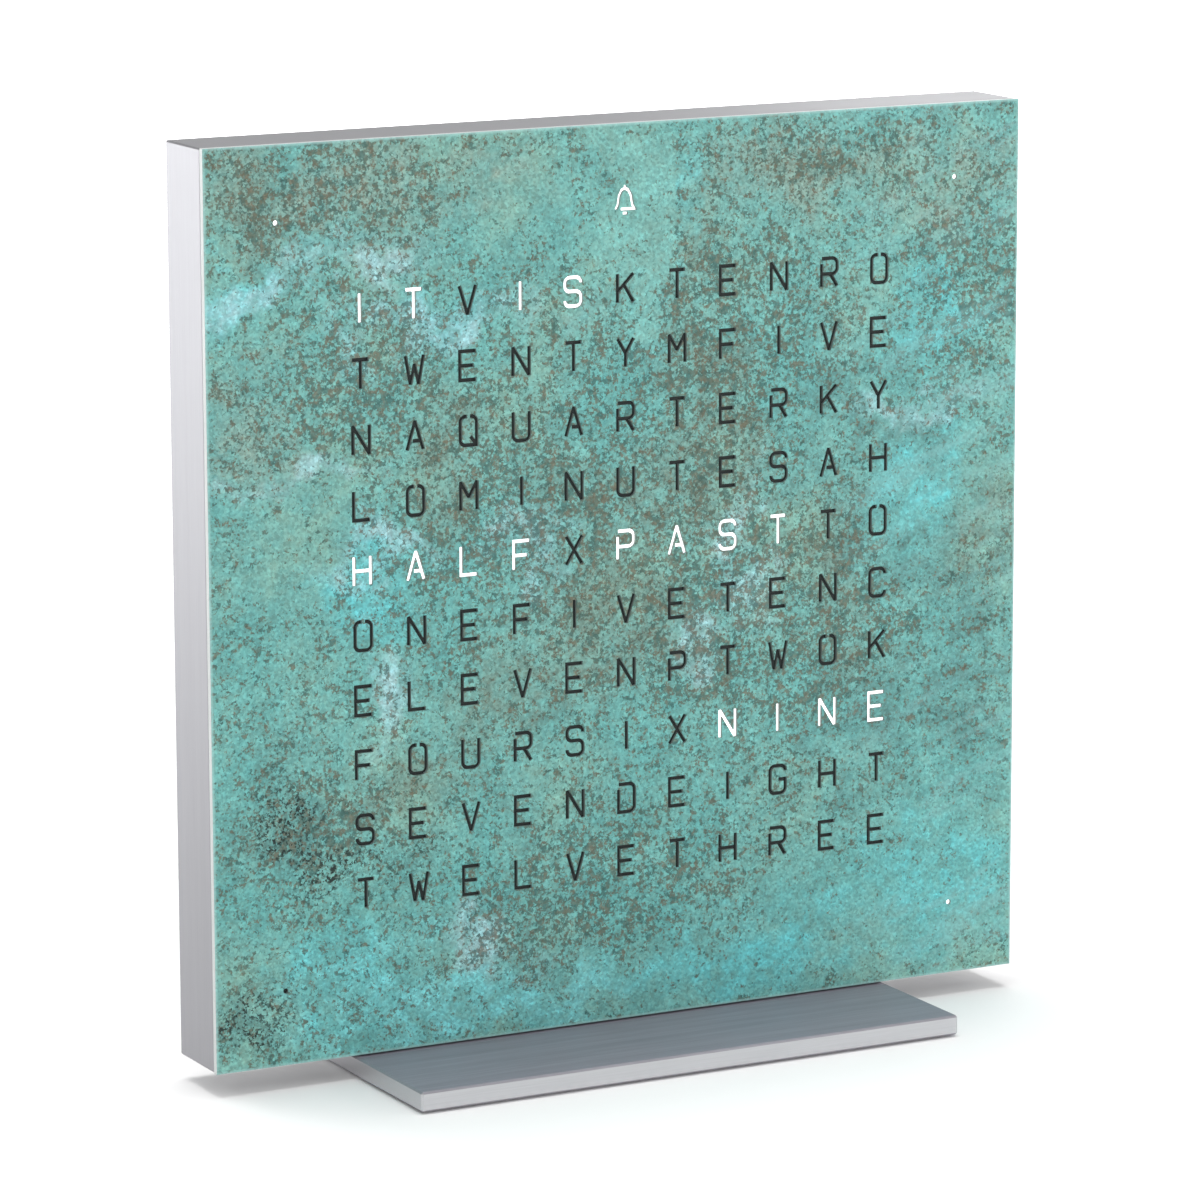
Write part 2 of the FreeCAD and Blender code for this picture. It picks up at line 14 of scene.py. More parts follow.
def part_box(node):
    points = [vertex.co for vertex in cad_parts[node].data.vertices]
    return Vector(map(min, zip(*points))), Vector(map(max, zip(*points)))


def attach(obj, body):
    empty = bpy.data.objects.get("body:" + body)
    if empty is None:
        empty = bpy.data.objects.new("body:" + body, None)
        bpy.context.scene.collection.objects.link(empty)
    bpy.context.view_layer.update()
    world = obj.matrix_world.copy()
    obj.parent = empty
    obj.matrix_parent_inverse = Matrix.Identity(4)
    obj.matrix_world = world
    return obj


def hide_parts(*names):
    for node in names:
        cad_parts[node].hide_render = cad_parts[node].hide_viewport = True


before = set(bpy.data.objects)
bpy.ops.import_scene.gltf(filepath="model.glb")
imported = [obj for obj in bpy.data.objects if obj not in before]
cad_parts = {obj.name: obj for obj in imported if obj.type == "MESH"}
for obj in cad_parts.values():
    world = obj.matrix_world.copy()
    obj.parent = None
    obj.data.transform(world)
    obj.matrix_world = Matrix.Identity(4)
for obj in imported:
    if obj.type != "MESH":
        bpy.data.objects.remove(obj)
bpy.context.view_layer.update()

MM = 0.001

# The face, from the frame, in millimetres
cover_low, cover_high = [np.array(corner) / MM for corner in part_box("front_cover")]
FACE = cover_high[0] - cover_low[0]
FACE_HALF = FACE / 2
MIDDLE_Z = (cover_high[2] + cover_low[2]) / 2
FRONT_Y = cover_low[1]
COVER_BACK = cover_high[1]

# Letter field, in millimetres. The span is between the middles of the outer letters, both ways.
LETTER_SPAN = 86.4
LETTER_HEIGHT = 4.8
LETTER_WIDTH = 3.2
STROKE = 0.56
DOT_PLACE = FACE_HALF - 11.2
DOT_RADIUS = 0.4
BELL_STROKE = 0.46

# The cover's bevels, and the resin in its cuts: how deep it starts and how far it stays off the walls
CUT_BEVEL = 0.05
EDGE_BEVEL = 0.15
RESIN_DEPTH = 0.45
RESIN_GAP = 0.004

# Rows of the field: capitals are lit, and with three minute dots they say 9:33
ROWS = (
    "ITvISktenro",
    "twentymfive",
    "naquarterky",
    "lominutesah",
    "HALFxPASTto",
    "onefivetenc",
    "elevenptwok",
    "foursixNINE",
    "sevendeight",
    "twelvethree",
)
LIT_DOTS = ((-1, 1), (1, 1), (1, -1))
UNLIT_DOTS = ((-1, -1),)

# Strokes of each letter on a grid 4 wide and 8 high. A third number rounds a corner, in millimetres.
# Counters stay open at one place, so that no island falls out of the plate.
ROUND = 0.78
GLYPHS = {
    "a": [[(0, 0), (2, 8), (3.375, 2.5), (4, 0)], [(3.375, 2.5), (1.45, 2.5)]],
    "c": [[(4, 6.4), (4, 8, ROUND), (0, 8, ROUND), (0, 0, ROUND), (4, 0, ROUND), (4, 1.6)]],
    "d": [[(0, 6.5), (0, 0), (4, 0, ROUND), (4, 8, ROUND), (0, 8)]],
    "e": [[(4, 8), (0, 8), (0, 4), (0, 0), (4, 0)], [(0, 4), (3.4, 4)]],
    "f": [[(4, 8), (0, 8), (0, 4), (0, 0)], [(0, 4), (3.4, 4)]],
    "g": [[(4, 6.4), (4, 8, ROUND), (0, 8, ROUND), (0, 0, ROUND), (4, 0, ROUND), (4, 4), (2.2, 4)]],
    "h": [[(0, 0), (0, 4), (0, 8)], [(4, 0), (4, 4), (4, 8)], [(0, 4), (4, 4)]],
    "i": [[(2, 0), (2, 8)]],
    "k": [[(0, 0), (0, 3), (0, 8)], [(0, 3), (1.6, 5), (4, 8)], [(1.6, 5), (4, 0)]],
    "l": [[(0, 8), (0, 0), (4, 0)]],
    "m": [[(0, 0), (0, 8), (2, 3.6), (4, 8), (4, 0)]],
    "n": [[(0, 0), (0, 8), (4, 0), (4, 8)]],
    "o": [[(1.7, 8), (0, 8, ROUND), (0, 0, ROUND), (4, 0, ROUND), (4, 8, ROUND), (2.4, 8)]],
    "p": [[(0, 0), (0, 3.6), (0, 6.5)], [(0, 3.6), (4, 3.6, ROUND), (4, 8, ROUND), (0, 8)]],
    "q": [
        [(1.7, 8), (0, 8, ROUND), (0, 0, ROUND), (4, 0), (4, 8, ROUND), (2.4, 8)],
        [(4, 0), (2.5, 2.4)],
    ],
    "r": [
        [(0, 0), (0, 3.6), (0, 6.5)],
        [(0, 3.6), (2.2, 3.6), (4, 3.6, ROUND), (4, 8, ROUND), (0, 8)],
        [(2.2, 3.6), (4, 0)],
    ],
    "s": [[
        (4, 6.4), (4, 8, ROUND), (0, 8, ROUND), (0, 4.1, ROUND),
        (4, 4.1, ROUND), (4, 0, ROUND), (0, 0, ROUND), (0, 1.6),
    ]],
    "t": [[(0, 8), (2, 8), (4, 8)], [(2, 8), (2, 0)]],
    "u": [[(0, 8), (0, 0, ROUND), (4, 0, ROUND), (4, 8)]],
    "v": [[(0, 8), (2, 0), (4, 8)]],
    "w": [[(-0.2, 8), (1, 0), (2, 5.6), (3, 0), (4.2, 8)]],
    "x": [[(0, 0), (2, 4), (4, 8)], [(0, 8), (2, 4), (4, 0)]],
    "y": [[(0, 8), (2, 3.8), (4, 8)], [(2, 3.8), (2, 0)]],
}

# The bell's strokes in millimetres, from its middle: its outline, its knob and its clapper
BELL = [
    [
        (-1.55, -1.45), (-1.2, -0.8), (-0.98, 0.55), (-0.55, 1.35), (0, 1.62), (0.55, 1.35),
        (0.98, 0.55), (1.2, -0.8), (1.55, -1.45), (-0.75, -1.45),
    ],
    [(0, 1.62), (0, 2.08)],
    [(-0.42, -2.07), (0.42, -2.07)],
]


# Shapes in the plane of the face

ARC_POINTS = 5
RING_POINTS = 20

# A turn smaller than this is the way straight back, which counts as a whole turn
SAME_WAY = 1e-6

# A side turns by an angle at a point, and 1 + its cosine falls from 2 as the turn grows. Under the
# first limit an outer corner is cut off square, and under the second every corner is.
SHARP_CORNER = 0.5
FOLDED_BACK = 0.01


def rounded(stroke, unit):
    """A stroke's points in millimetres, each marked corner swapped for the points of an arc.

    The arc starts and ends where the sides touch a circle of the corner's radius: at the corner plus
    the way to each neighbour times radius / tan(half the angle between them). Between, its points
    are shares of the straight way from start to end, moved out from the centre onto the circle."""
    points = [np.array(point[:2]) * unit for point in stroke]
    path = []
    for n, point in enumerate(stroke):
        if len(point) == 2:
            path.append(points[n])
            continue
        back = points[n - 1] - points[n]
        ahead = points[n + 1] - points[n]
        back = back / np.linalg.norm(back)
        ahead = ahead / np.linalg.norm(ahead)
        half_angle = math.acos(np.clip(back @ ahead, -1, 1)) / 2
        start = points[n] + back * point[2] / math.tan(half_angle)
        end = points[n] + ahead * point[2] / math.tan(half_angle)
        inward = (back + ahead) / np.linalg.norm(back + ahead)
        centre = points[n] + inward * point[2] / math.sin(half_angle)
        for share in np.linspace(0, 1, ARC_POINTS):
            way = (1 - share) * start + share * end - centre
            path.append(centre + way / np.linalg.norm(way) * point[2])
    return path


def left_of(way):
    """The direction a quarter turn to the left of a way."""
    return np.array((-way[1], way[0]))


def outlines_of(strokes, unit, width):
    """Closed outlines round a letter's strokes, clockwise.

    The strokes are taken as a tree of points. A walk goes round the whole tree and keeps half the
    stroke's width to its left: at a point where strokes meet it takes the one that it finds first
    when it turns clockwise from where it came, and at a free end it turns round. The outline's corner
    is where the two offset sides cross, or two points square to the sides at an end or a sharp outer
    corner."""
    paths = [rounded(stroke, unit) for stroke in strokes]
    places = {}
    neighbours = {}
    for path in paths:
        keys = [tuple(np.round(point, 4)) for point in path]
        for key, point in zip(keys, path):
            places[key] = point
            neighbours.setdefault(key, [])
        for here, there in zip(keys, keys[1:]):
            neighbours[here].append(there)
            neighbours[there].append(here)
    half = width / 2
    outlines = []
    walked = set()
    for first in neighbours:
        if len(neighbours[first]) > 1 or (first, neighbours[first][0]) in walked:
            continue
        here = first
        there = neighbours[first][0]
        outline = []
        while (here, there) not in walked:
            walked.add((here, there))
            along = places[there] - places[here]
            along = along / np.linalg.norm(along)
            came = math.atan2(-along[1], -along[0])
            ways = []
            for other in neighbours[there]:
                step = places[other] - places[there]
                turn = (came - math.atan2(step[1], step[0])) % (2 * math.pi)
                ways.append((turn if turn > SAME_WAY else 2 * math.pi, other))
            following = min(ways)[1]
            onward = places[following] - places[there]
            onward = onward / np.linalg.norm(onward)
            side = left_of(along)
            next_side = left_of(onward)
            closeness = 1 + side @ next_side
            outer = along[0] * onward[1] < along[1] * onward[0]
            if outer and closeness < SHARP_CORNER or closeness < FOLDED_BACK:
                outline.append(places[there] + half * side)
                outline.append(places[there] + half * next_side)
            else:
                outline.append(places[there] + half * (side + next_side) / closeness)
            here, there = there, following
        outlines.append(np.array(outline))
    return outlines


def ring(radius, x, z):
    """A circle's points, clockwise."""
    turn = -np.arange(RING_POINTS) * 2 * np.pi / RING_POINTS
    return np.column_stack([x + radius * np.cos(turn), z + radius * np.sin(turn)])


def grown(outline, distance):
    """A closed outline with each side moved to its left and the corners where the moved sides cross."""
    along = np.roll(outline, -1, axis=0) - outline
    along = along / np.linalg.norm(along, axis=1)[:, None]
    side = np.column_stack([-along[:, 1], along[:, 0]])
    before = np.roll(side, 1, axis=0)
    share = np.maximum(1 + np.sum(side * before, axis=1), SHARP_CORNER)
    return outline + distance * (side + before) / share[:, None]


def letter_places(wanted):
    """The middles of the letters that are wanted, in millimetres from the middle of the face."""
    places = []
    for row, text in enumerate(ROWS):
        z = LETTER_SPAN / 2 - row * LETTER_SPAN / (len(ROWS) - 1)
        for column, letter in enumerate(text):
            x = column * LETTER_SPAN / (len(text) - 1) - LETTER_SPAN / 2
            if wanted(letter):
                places.append((x, z))
    return places


def letter_outlines():
    """The outlines of the lit and of the unlit letters, at their places on the face."""
    unit = np.array(((LETTER_WIDTH - STROKE) / 4, (LETTER_HEIGHT - STROKE) / 8))
    field = "".join(ROWS)
    lit = []
    unlit = []
    for letter, place in zip(field, letter_places(str.isalpha)):
        corner = np.array(place) - unit * (2, 4)
        shapes = [shape + corner for shape in outlines_of(GLYPHS[letter.lower()], unit, STROKE)]
        (lit if letter.isupper() else unlit).extend(shapes)
    return lit, unlit


def sign_outlines():
    """The outlines of the bell and of the minute dots, lit and unlit."""
    middle = np.array((0, DOT_PLACE))
    lit = [shape + middle for shape in outlines_of(BELL, np.ones(2), BELL_STROKE)]
    lit += [ring(DOT_RADIUS, a * DOT_PLACE, b * DOT_PLACE) for a, b in LIT_DOTS]
    unlit = [ring(DOT_RADIUS, a * DOT_PLACE, b * DOT_PLACE) for a, b in UNLIT_DOTS]
    return lit, unlit


# Meshes

def make_mesh(name, points, faces, materials, face_materials=None):
    """An object from points in millimetres, with its normals turned outwards."""
    mesh = bpy.data.meshes.new(name)
    mesh.from_pydata(np.asarray(points) * MM, [], [list(face) for face in faces])
    for material in materials:
        mesh.materials.append(material)
    if face_materials is not None:
        mesh.polygons.foreach_set("material_index", face_materials)
    made = bmesh.new()
    made.from_mesh(mesh)
    bmesh.ops.recalc_face_normals(made, faces=made.faces)
    made.to_mesh(mesh)
    made.free()
    piece = bpy.data.objects.new(name, mesh)
    bpy.context.scene.collection.objects.link(piece)
    return piece


def plate_arrays(outlines, steps):
    """Points and faces of a flat plate with closed outlines, holes among them, and how many of the
    faces are sides.

    Each outline is repeated at each step (how far it is grown, its depth y), and each two rings in a
    row are joined by a band of four-sided faces. The first and last rings are filled flat."""
    counts = np.array([len(outline) for outline in outlines])
    starts = np.concatenate([[0], np.cumsum(counts)[:-1]])
    total = counts.sum()
    here = np.arange(total)
    loop_start = np.repeat(starts, counts)
    following = loop_start + (here - loop_start + 1) % np.repeat(counts, counts)
    points = []
    faces = []
    for level, (amounts, y) in enumerate(steps):
        flat = np.concatenate([grown(outline, amount) for outline, amount in zip(outlines, amounts)])
        points.append(np.column_stack([flat[:, 0], np.full(total, y), flat[:, 1] + MIDDLE_Z]))
        if level:
            low = (level - 1) * total
            high = level * total
            band = np.column_stack([here + low, following + low, following + high, here + high])
            faces.extend(band.tolist())
    sides = len(faces)
    for level in (0, len(steps) - 1):
        loops = np.split(points[level][:, [0, 2]], starts[1:])
        corners = tessellate_polygon([[Vector((x, z, 0)) for x, z in loop] for loop in loops])
        faces.extend([tuple(corner + level * total for corner in triangle) for triangle in corners])
    return np.concatenate(points), faces, sides


def joined(parts):
    """Several closed forms as one list of points and faces."""
    points = []
    faces = []
    start = 0
    for part_points, part_faces in parts:
        points.append(part_points)
        faces.extend([[corner + start for corner in face] for face in part_faces])
        start += len(part_points)
    return np.concatenate(points), faces


def filled_shapes(outlines, front, back):
    """Points and faces of separate flat-ended bars, one for each outline, a gap inside it all round."""
    steps = [([RESIN_GAP], front), ([RESIN_GAP], back)]
    return joined([plate_arrays([outline[::-1]], steps)[:2] for outline in outlines])


# Materials

# Settings that many nodes share: a soft change from one value to the next, and a mix of two colours
SOFT = {"interpolation_type": "SMOOTHSTEP"}
COLOURS = {"out": 2, "data_type": "RGBA"}

# Nearly all of a noise lies between these two values
NOISE_LOW = 0.3
NOISE_HIGH = 0.7


def linear(code):
    """An sRGB hex colour as linear RGBA: c / 12.92 below 0.04045, else ((c + 0.055) / 1.055) ** 2.4."""
    parts = np.array([int(code[n:n + 2], 16) / 255 for n in (1, 3, 5)])
    low = parts / 12.92
    high = ((parts + 0.055) / 1.055) ** 2.4
    return (*np.where(parts <= 0.04045, low, high), 1.0)


def add(tree, kind, inputs, out=0, **settings):
    """Adds a node with its settings and links, and returns one of its outputs.

    An input is a value, or the output of another node."""
    made = tree.nodes.new("ShaderNode" + kind)
    for name, value in settings.items():
        setattr(made, name, value)
    for name, value in inputs.items():
        if isinstance(value, bpy.types.NodeSocket):
            tree.links.new(value, made.inputs[name])
        else:
            made.inputs[name].default_value = value
    return made.outputs[out]


def start_material(name):
    """A new material: its tree, its surface shader and the object's own coordinates in millimetres."""
    material = bpy.data.materials.new(name)
    material.use_nodes = True
    tree = material.node_tree
    shader = tree.nodes["Principled BSDF"]
    place = add(tree, "TexCoord", {}, out="Object")
    place = add(tree, "Mapping", {"Vector": place, "Scale": (1 / MM,) * 3})
    return material, tree, shader, place


def toned(tree, value, first, steps):
    """A colour that turns into the next one as a value rises through each step's two limits."""
    colour = linear(first)
    for low, high, code in steps:
        share = add(tree, "MapRange", {0: value, 1: low, 2: high}, **SOFT)
        colour = add(tree, "Mix", {0: share, 6: colour, 7: linear(code)}, **COLOURS)
    return colour


def shaded(tree, colour, value, low, high):
    """A colour times a factor that goes from low to high as a noise rises over its range."""
    factor = add(tree, "MapRange", {
        0: value, 1: NOISE_LOW, 2: NOISE_HIGH, 3: low, 4: high,
    }, clamp=False)
    return add(tree, "Mix", {0: 1.0, 6: colour, 7: factor}, blend_type="MULTIPLY", **COLOURS)


# Where the patina changes, as ovals in millimetres from the middle of the face: x, z,
# half width, half height
GREY_BLOOM = ((-46, 60, 26, 9), (28, 58, 24, 9), (-22, 60, 10, 6), (60, 56, 12, 10), (-60, 26, 10, 10))
DENSE_PEPPER = (
    (-16, 12, 26, 20), (16, -8, 26, 22), (14, 36, 28, 13), (-50, 60, 19, 9), (32, 60, 24, 7),
    (38, -6, 12, 18), (-52, -34, 16, 14), (-4, -46, 32, 11), (-42, 34, 18, 13), (60, 40, 9, 22),
    (16, 24, 12, 18),
)
CALM_FILM = (
    (-16, 57, 10, 8), (58, -46, 13, 14), (6, -62, 50, 7), (-63, 46, 9, 6), (-56, 8, 9, 14),
    (42, -56, 24, 9), (52, 8, 10, 12),
)
CYAN_FILM = (
    (-62, 47, 10, 5), (-26, -61, 24, 7), (56, -52, 17, 12), (-50, -56, 12, 5), (50, 12, 8, 14),
    (-42, 2, 12, 8), (20, -60, 26, 7), (4, 50, 6, 18), (-30, 42, 14, 4), (54, 36, 12, 5),
)
PALE_BLOOM = (
    (-60, 46, 10, 4), (-39, -14, 5, 9), (-28, 41, 20, 4), (21, 2, 4, 12), (11, -11, 6, 5),
    (-22, -50, 8, 8), (-54, 20, 14, 3), (50, 24, 14, 3), (-38, 6, 12, 4), (-18, 5, 6, 5),
    (-42, 50, 12, 4),
)
BRIGHT_FILM = ((-40, -60, 18, 8), (-14, -61, 18, 6), (-62, 46, 8, 5))
OLIVE_STAIN = (
    (-28, 20, 8, 11), (14, 32, 11, 9), (35, -5, 7, 13), (-4, -6, 20, 15), (-60, 60, 9, 7),
    (28, 57, 16, 5), (-36, -30, 12, 6), (0, 14, 18, 10), (8, 46, 9, 6), (-22, -18, 10, 9), (62, 2, 4, 8),
    (16, 16, 9, 12),
)
TEAL_SHADE = (
    (-56, -34, 12, 12), (-62, -62, 7, 7), (60, -14, 12, 26), (42, -26, 16, 16), (40, 22, 16, 14),
    (50, 0, 16, 8),
)
BLACK_SPECKS = ((-56, -33, 8, 11), (-45, -42, 11, 6), (-62, -62, 8, 7))

# The mark that a drop of the bath left as it ran down, and the place of its crisp right edge
RUN_MARK = ((3.5, 54, 8.5, 20),)
RUN_EDGE = 8.2
RUN_EDGE_WIDTH = 0.5

# Widths of the patina's patterns, in millimetres
CLOUD_WIDTH = 20
MOTTLE_WIDTH = 5
CLUMP_WIDTH = 3.4
HUE_WIDTH = 1.6
PEPPER_WIDTH = 0.95
FLAKE_WIDTH = 0.8

# The crystals and the dust on them are finer in truth, and are drawn as coarse as they need to show
CRYSTAL_WIDTH = 0.38
DUST_WIDTH = 0.44

# A crystal's sides bend by a share of this reach over this width
BEND_WIDTH = 0.4
BEND_REACH = 0.5

# The edge of a soft oval wanders by a share of this reach over this width, and the ovals go right
# through the plate, so their half depth is far more than its thickness
DRIFT_WIDTH = 14
DRIFT_REACH = 34
OVAL_DEPTH = 1000

# Pale wiped streaks: their length and width, how much they slant, and where they start and are full
STREAK_LENGTH = 20
STREAK_WIDTH = 3
STREAK_SLANT = math.radians(-22)
STREAK_START = 26
STREAK_FULL = 56

# The worn rim is palest this far in from the plate's edge, and ends at the second distance
RIM_CORE = 0.1
RIM_END = 0.5

# How far the grains stand up from the film, in millimetres
GRAIN_HEIGHT = 0.015


def patches(tree, place, spots, edge=0.2, fall=1.3):
    """Soft ovals, added up: each is 1 inside its edge share and falls to 0 at its fall share."""
    total = 0.0
    for x, z, wide, high in spots:
        local = add(tree, "Mapping", {
            "Vector": place, "Location": (x, 0, z), "Scale": (wide, OVAL_DEPTH, high),
        }, vector_type="TEXTURE")
        away = add(tree, "VectorMath", {0: local}, out="Value", operation="LENGTH")
        spot = add(tree, "MapRange", {0: away, 1: edge, 2: fall, 3: 1.0, 4: 0.0}, **SOFT)
        total = add(tree, "Math", {0: total, 1: spot}, operation="ADD", use_clamp=True)
    return total


def verdigris_patina():
    """Verdigris grown on a steel sheet and sealed with matt lacquer: a thin blue-green film, clouded
    pale and stained olive, peppered with dark and brown grains that stand up a little from it.

    First the film's colour is laid in clouds and ovals, then the grains are laid where a noise is under
    a limit that rises with how crowded they are there, and dust, streaks, flakes and the rim follow."""
    material, tree, shader, place = start_material("verdigris_patina")
    face = add(tree, "VectorMath", {0: place, 1: (0, 0, -MIDDLE_Z)}, operation="ADD")
    drift = add(tree, "TexNoise", {
        "Vector": face, "Scale": 1 / DRIFT_WIDTH, "Detail": 4.0, "Roughness": 0.62,
    }, out=1)
    drift = add(tree, "VectorMath", {0: drift, 1: (-0.5, -0.5, -0.5)}, operation="ADD")
    ragged = add(tree, "VectorMath", {
        0: drift, 1: (DRIFT_REACH,) * 3, 2: face,
    }, operation="MULTIPLY_ADD")
    broad = add(tree, "TexNoise", {
        "Vector": face, "Scale": 1 / CLOUD_WIDTH, "Detail": 4.0, "Roughness": 0.6,
    })
    mottle = add(tree, "TexNoise", {
        "Vector": face, "Scale": 1 / MOTTLE_WIDTH, "Detail": 6.0, "Roughness": 0.66, "Distortion": 0.5,
    })
    cloud = add(tree, "MapRange", {0: mottle, 1: 0.36, 2: 0.64, 3: 0.2, 4: 1.0}, **SOFT)
    hollow = add(tree, "MapRange", {0: mottle, 1: 0.62, 2: 0.36, 3: 0.3, 4: 1.0}, **SOFT)

    coat = toned(tree, broad, "#63ADAA", ((0.36, 0.52, "#6CAFAA"), (0.5, 0.68, "#79AFA4")))
    for spots, code, strength, pattern in (
        (GREY_BLOOM, "#82A399", 0.85, cloud),
        (CYAN_FILM, "#5CBDC2", 0.9, cloud),
        (TEAL_SHADE, "#578F8C", 0.75, hollow),
        (OLIVE_STAIN, "#74897A", 0.6, hollow),
        (BRIGHT_FILM, "#78CFD2", 0.85, cloud),
        (PALE_BLOOM, "#9FCDD4", 0.8, cloud),
    ):
        share = patches(tree, ragged, spots)
        share = add(tree, "Math", {0: share, 1: pattern}, operation="MULTIPLY")
        share = add(tree, "Math", {0: share, 1: strength}, operation="MULTIPLY")
        coat = add(tree, "Mix", {0: share, 6: coat, 7: linear(code)}, **COLOURS)
    aside = add(tree, "SeparateXYZ", {0: face})
    crisp = add(tree, "MapRange", {
        0: aside, 1: RUN_EDGE, 2: RUN_EDGE + RUN_EDGE_WIDTH, 3: 1.0, 4: 0.0,
    })
    run = patches(tree, ragged, RUN_MARK, 0.6, 1.0)
    run = add(tree, "Math", {0: run, 1: crisp}, operation="MULTIPLY")
    share = add(tree, "Math", {0: run, 1: 0.85}, operation="MULTIPLY")
    coat = add(tree, "Mix", {0: share, 6: coat, 7: linear("#76B4AD")}, **COLOURS)
    coat = shaded(tree, coat, mottle, 0.84, 1.14)

    crowd = patches(tree, ragged, DENSE_PEPPER)
    calm = patches(tree, ragged, CALM_FILM)
    calm = add(tree, "Math", {0: calm, 1: run}, operation="MAXIMUM")
    crowd = add(tree, "Math", {0: crowd, 1: calm}, operation="SUBTRACT")
    clumps = add(tree, "TexNoise", {
        "Vector": face, "Scale": 1 / CLUMP_WIDTH, "Detail": 4.0, "Roughness": 0.62,
    })
    lumpy = add(tree, "MapRange", {
        0: clumps, 1: NOISE_LOW, 2: NOISE_HIGH, 3: -1.3, 4: 1.3,
    }, clamp=False)
    crowd = add(tree, "Math", {0: crowd, 1: lumpy}, operation="ADD")

    pepper = add(tree, "TexNoise", {
        "Vector": face, "Scale": 1 / PEPPER_WIDTH, "Detail": 3.0, "Roughness": 0.75,
    })
    bend = add(tree, "TexNoise", {"Vector": face, "Scale": 1 / BEND_WIDTH, "Detail": 1.0}, out=1)
    bent = add(tree, "VectorMath", {0: bend, 1: (BEND_REACH,) * 3, 2: face}, operation="MULTIPLY_ADD")
    crystals = add(tree, "TexVoronoi", {"Vector": bent, "Scale": 1 / CRYSTAL_WIDTH}, out=1)
    shade = add(tree, "SeparateColor", {0: crystals})
    chance = add(tree, "SeparateColor", {0: crystals}, out=1)
    hue = add(tree, "SeparateColor", {0: crystals}, out=2)
    chance = add(tree, "MapRange", {0: chance, 3: -0.11, 4: 0.11})
    pepper = add(tree, "Math", {0: pepper, 1: chance}, operation="ADD")
    limit = add(tree, "MapRange", {0: crowd, 1: -1.2, 2: 1.6, 3: 0.31, 4: 0.6}, clamp=False)
    under = add(tree, "Math", {0: limit, 1: pepper}, operation="SUBTRACT")
    grains = add(tree, "MapRange", {0: under, 1: -0.03, 2: 0.07}, **SOFT)
    tint = add(tree, "TexNoise", {
        "Vector": face, "Scale": 1 / HUE_WIDTH, "Detail": 3.0, "Roughness": 0.6,
    })
    brown = add(tree, "MapRange", {0: hue, 3: -0.07, 4: 0.07})
    tint = add(tree, "Math", {0: tint, 1: brown}, operation="ADD")
    grain_colour = toned(tree, tint, "#35504A", ((0.4, 0.5, "#50584A"), (0.5, 0.62, "#675A44")))
    share = add(tree, "Math", {0: grains, 1: 0.72}, operation="MULTIPLY")
    worn = add(tree, "Mix", {0: share, 6: coat, 7: grain_colour}, **COLOURS)

    dust = add(tree, "TexNoise", {
        "Vector": face, "Scale": 1 / DUST_WIDTH, "Detail": 2.0, "Roughness": 0.7,
    })
    worn = shaded(tree, worn, dust, 0.88, 1.12)
    worn = shaded(tree, worn, shade, 0.91, 1.09)
    warm = add(tree, "MapRange", {0: tint, 1: 0.35, 2: 0.65, 3: 0.0, 4: 0.9})
    worn = add(tree, "Mix", {0: warm, 6: worn, 7: linear("#FFEBE6")}, blend_type="MULTIPLY", **COLOURS)

    slant = add(tree, "Mapping", {
        "Vector": face, "Rotation": (0, STREAK_SLANT, 0), "Scale": (STREAK_LENGTH, 1, STREAK_WIDTH),
    }, vector_type="TEXTURE")
    streak = add(tree, "TexNoise", {
        "Vector": slant, "Scale": 1.0, "Detail": 4.0, "Roughness": 0.62, "Distortion": 0.4,
    })
    wiped = add(tree, "MapRange", {0: aside, 1: STREAK_START, 2: STREAK_FULL}, **SOFT)
    light = add(tree, "MapRange", {0: streak, 1: 0.48, 2: 0.7}, **SOFT)
    light = add(tree, "Math", {0: light, 1: wiped}, operation="MULTIPLY")
    light = add(tree, "Math", {0: light, 1: 0.35}, operation="MULTIPLY")
    worn = add(tree, "Mix", {0: light, 6: worn, 7: linear("#88BAB9")}, **COLOURS)

    flake = add(tree, "TexNoise", {
        "Vector": face, "Scale": 1 / FLAKE_WIDTH, "Detail": 3.0, "Roughness": 0.7,
    })
    flake = add(tree, "Math", {0: flake, 1: chance}, operation="ADD")
    flake = add(tree, "MapRange", {0: flake, 1: 0.47, 2: 0.4}, **SOFT)
    black = patches(tree, ragged, BLACK_SPECKS)
    flake = add(tree, "Math", {0: flake, 1: black}, operation="MULTIPLY")
    worn = add(tree, "Mix", {0: flake, 6: worn, 7: linear("#22302D")}, **COLOURS)

    sides = add(tree, "VectorMath", {0: face}, operation="ABSOLUTE")
    side_x = add(tree, "SeparateXYZ", {0: sides})
    side_z = add(tree, "SeparateXYZ", {0: sides}, out=2)
    nearest = add(tree, "Math", {0: side_x, 1: side_z}, operation="MAXIMUM")
    rim = add(tree, "MapRange", {
        0: nearest, 1: FACE_HALF - RIM_END, 2: FACE_HALF - RIM_CORE, 3: 0.0, 4: 0.6,
    }, **SOFT)
    worn = add(tree, "Mix", {0: rim, 6: worn, 7: linear("#A3CBC8")}, **COLOURS)

    tree.links.new(worn, shader.inputs["Base Color"])
    tree.links.new(add(tree, "MapRange", {0: grains, 3: 0.6, 4: 0.8}), shader.inputs["Roughness"])
    shader.inputs["IOR"].default_value = 1.45
    half = add(tree, "Math", {0: dust, 1: 0.5}, operation="MULTIPLY")
    height = add(tree, "Math", {0: grains, 1: half}, operation="ADD")
    normal = add(tree, "Bump", {"Height": height, "Distance": GRAIN_HEIGHT * MM, "Strength": 1.0})
    tree.links.new(normal, shader.inputs["Normal"])
    return material


# Brushing, in millimetres. Its lines are drawn about three times as wide as real ones, so that they
# show. They gather in bands, and the stretch says how many times as long as wide a line is.
LINE_WIDTH = 0.16
BAND_WIDTH = 9 * LINE_WIDTH
LINE_DEPTH = 0.003
LINE_STRETCH = 60

# What is added to a metal's roughness where its pattern is low, and where it is high
METAL_POLISH = -0.05
METAL_WEAR = 0.07


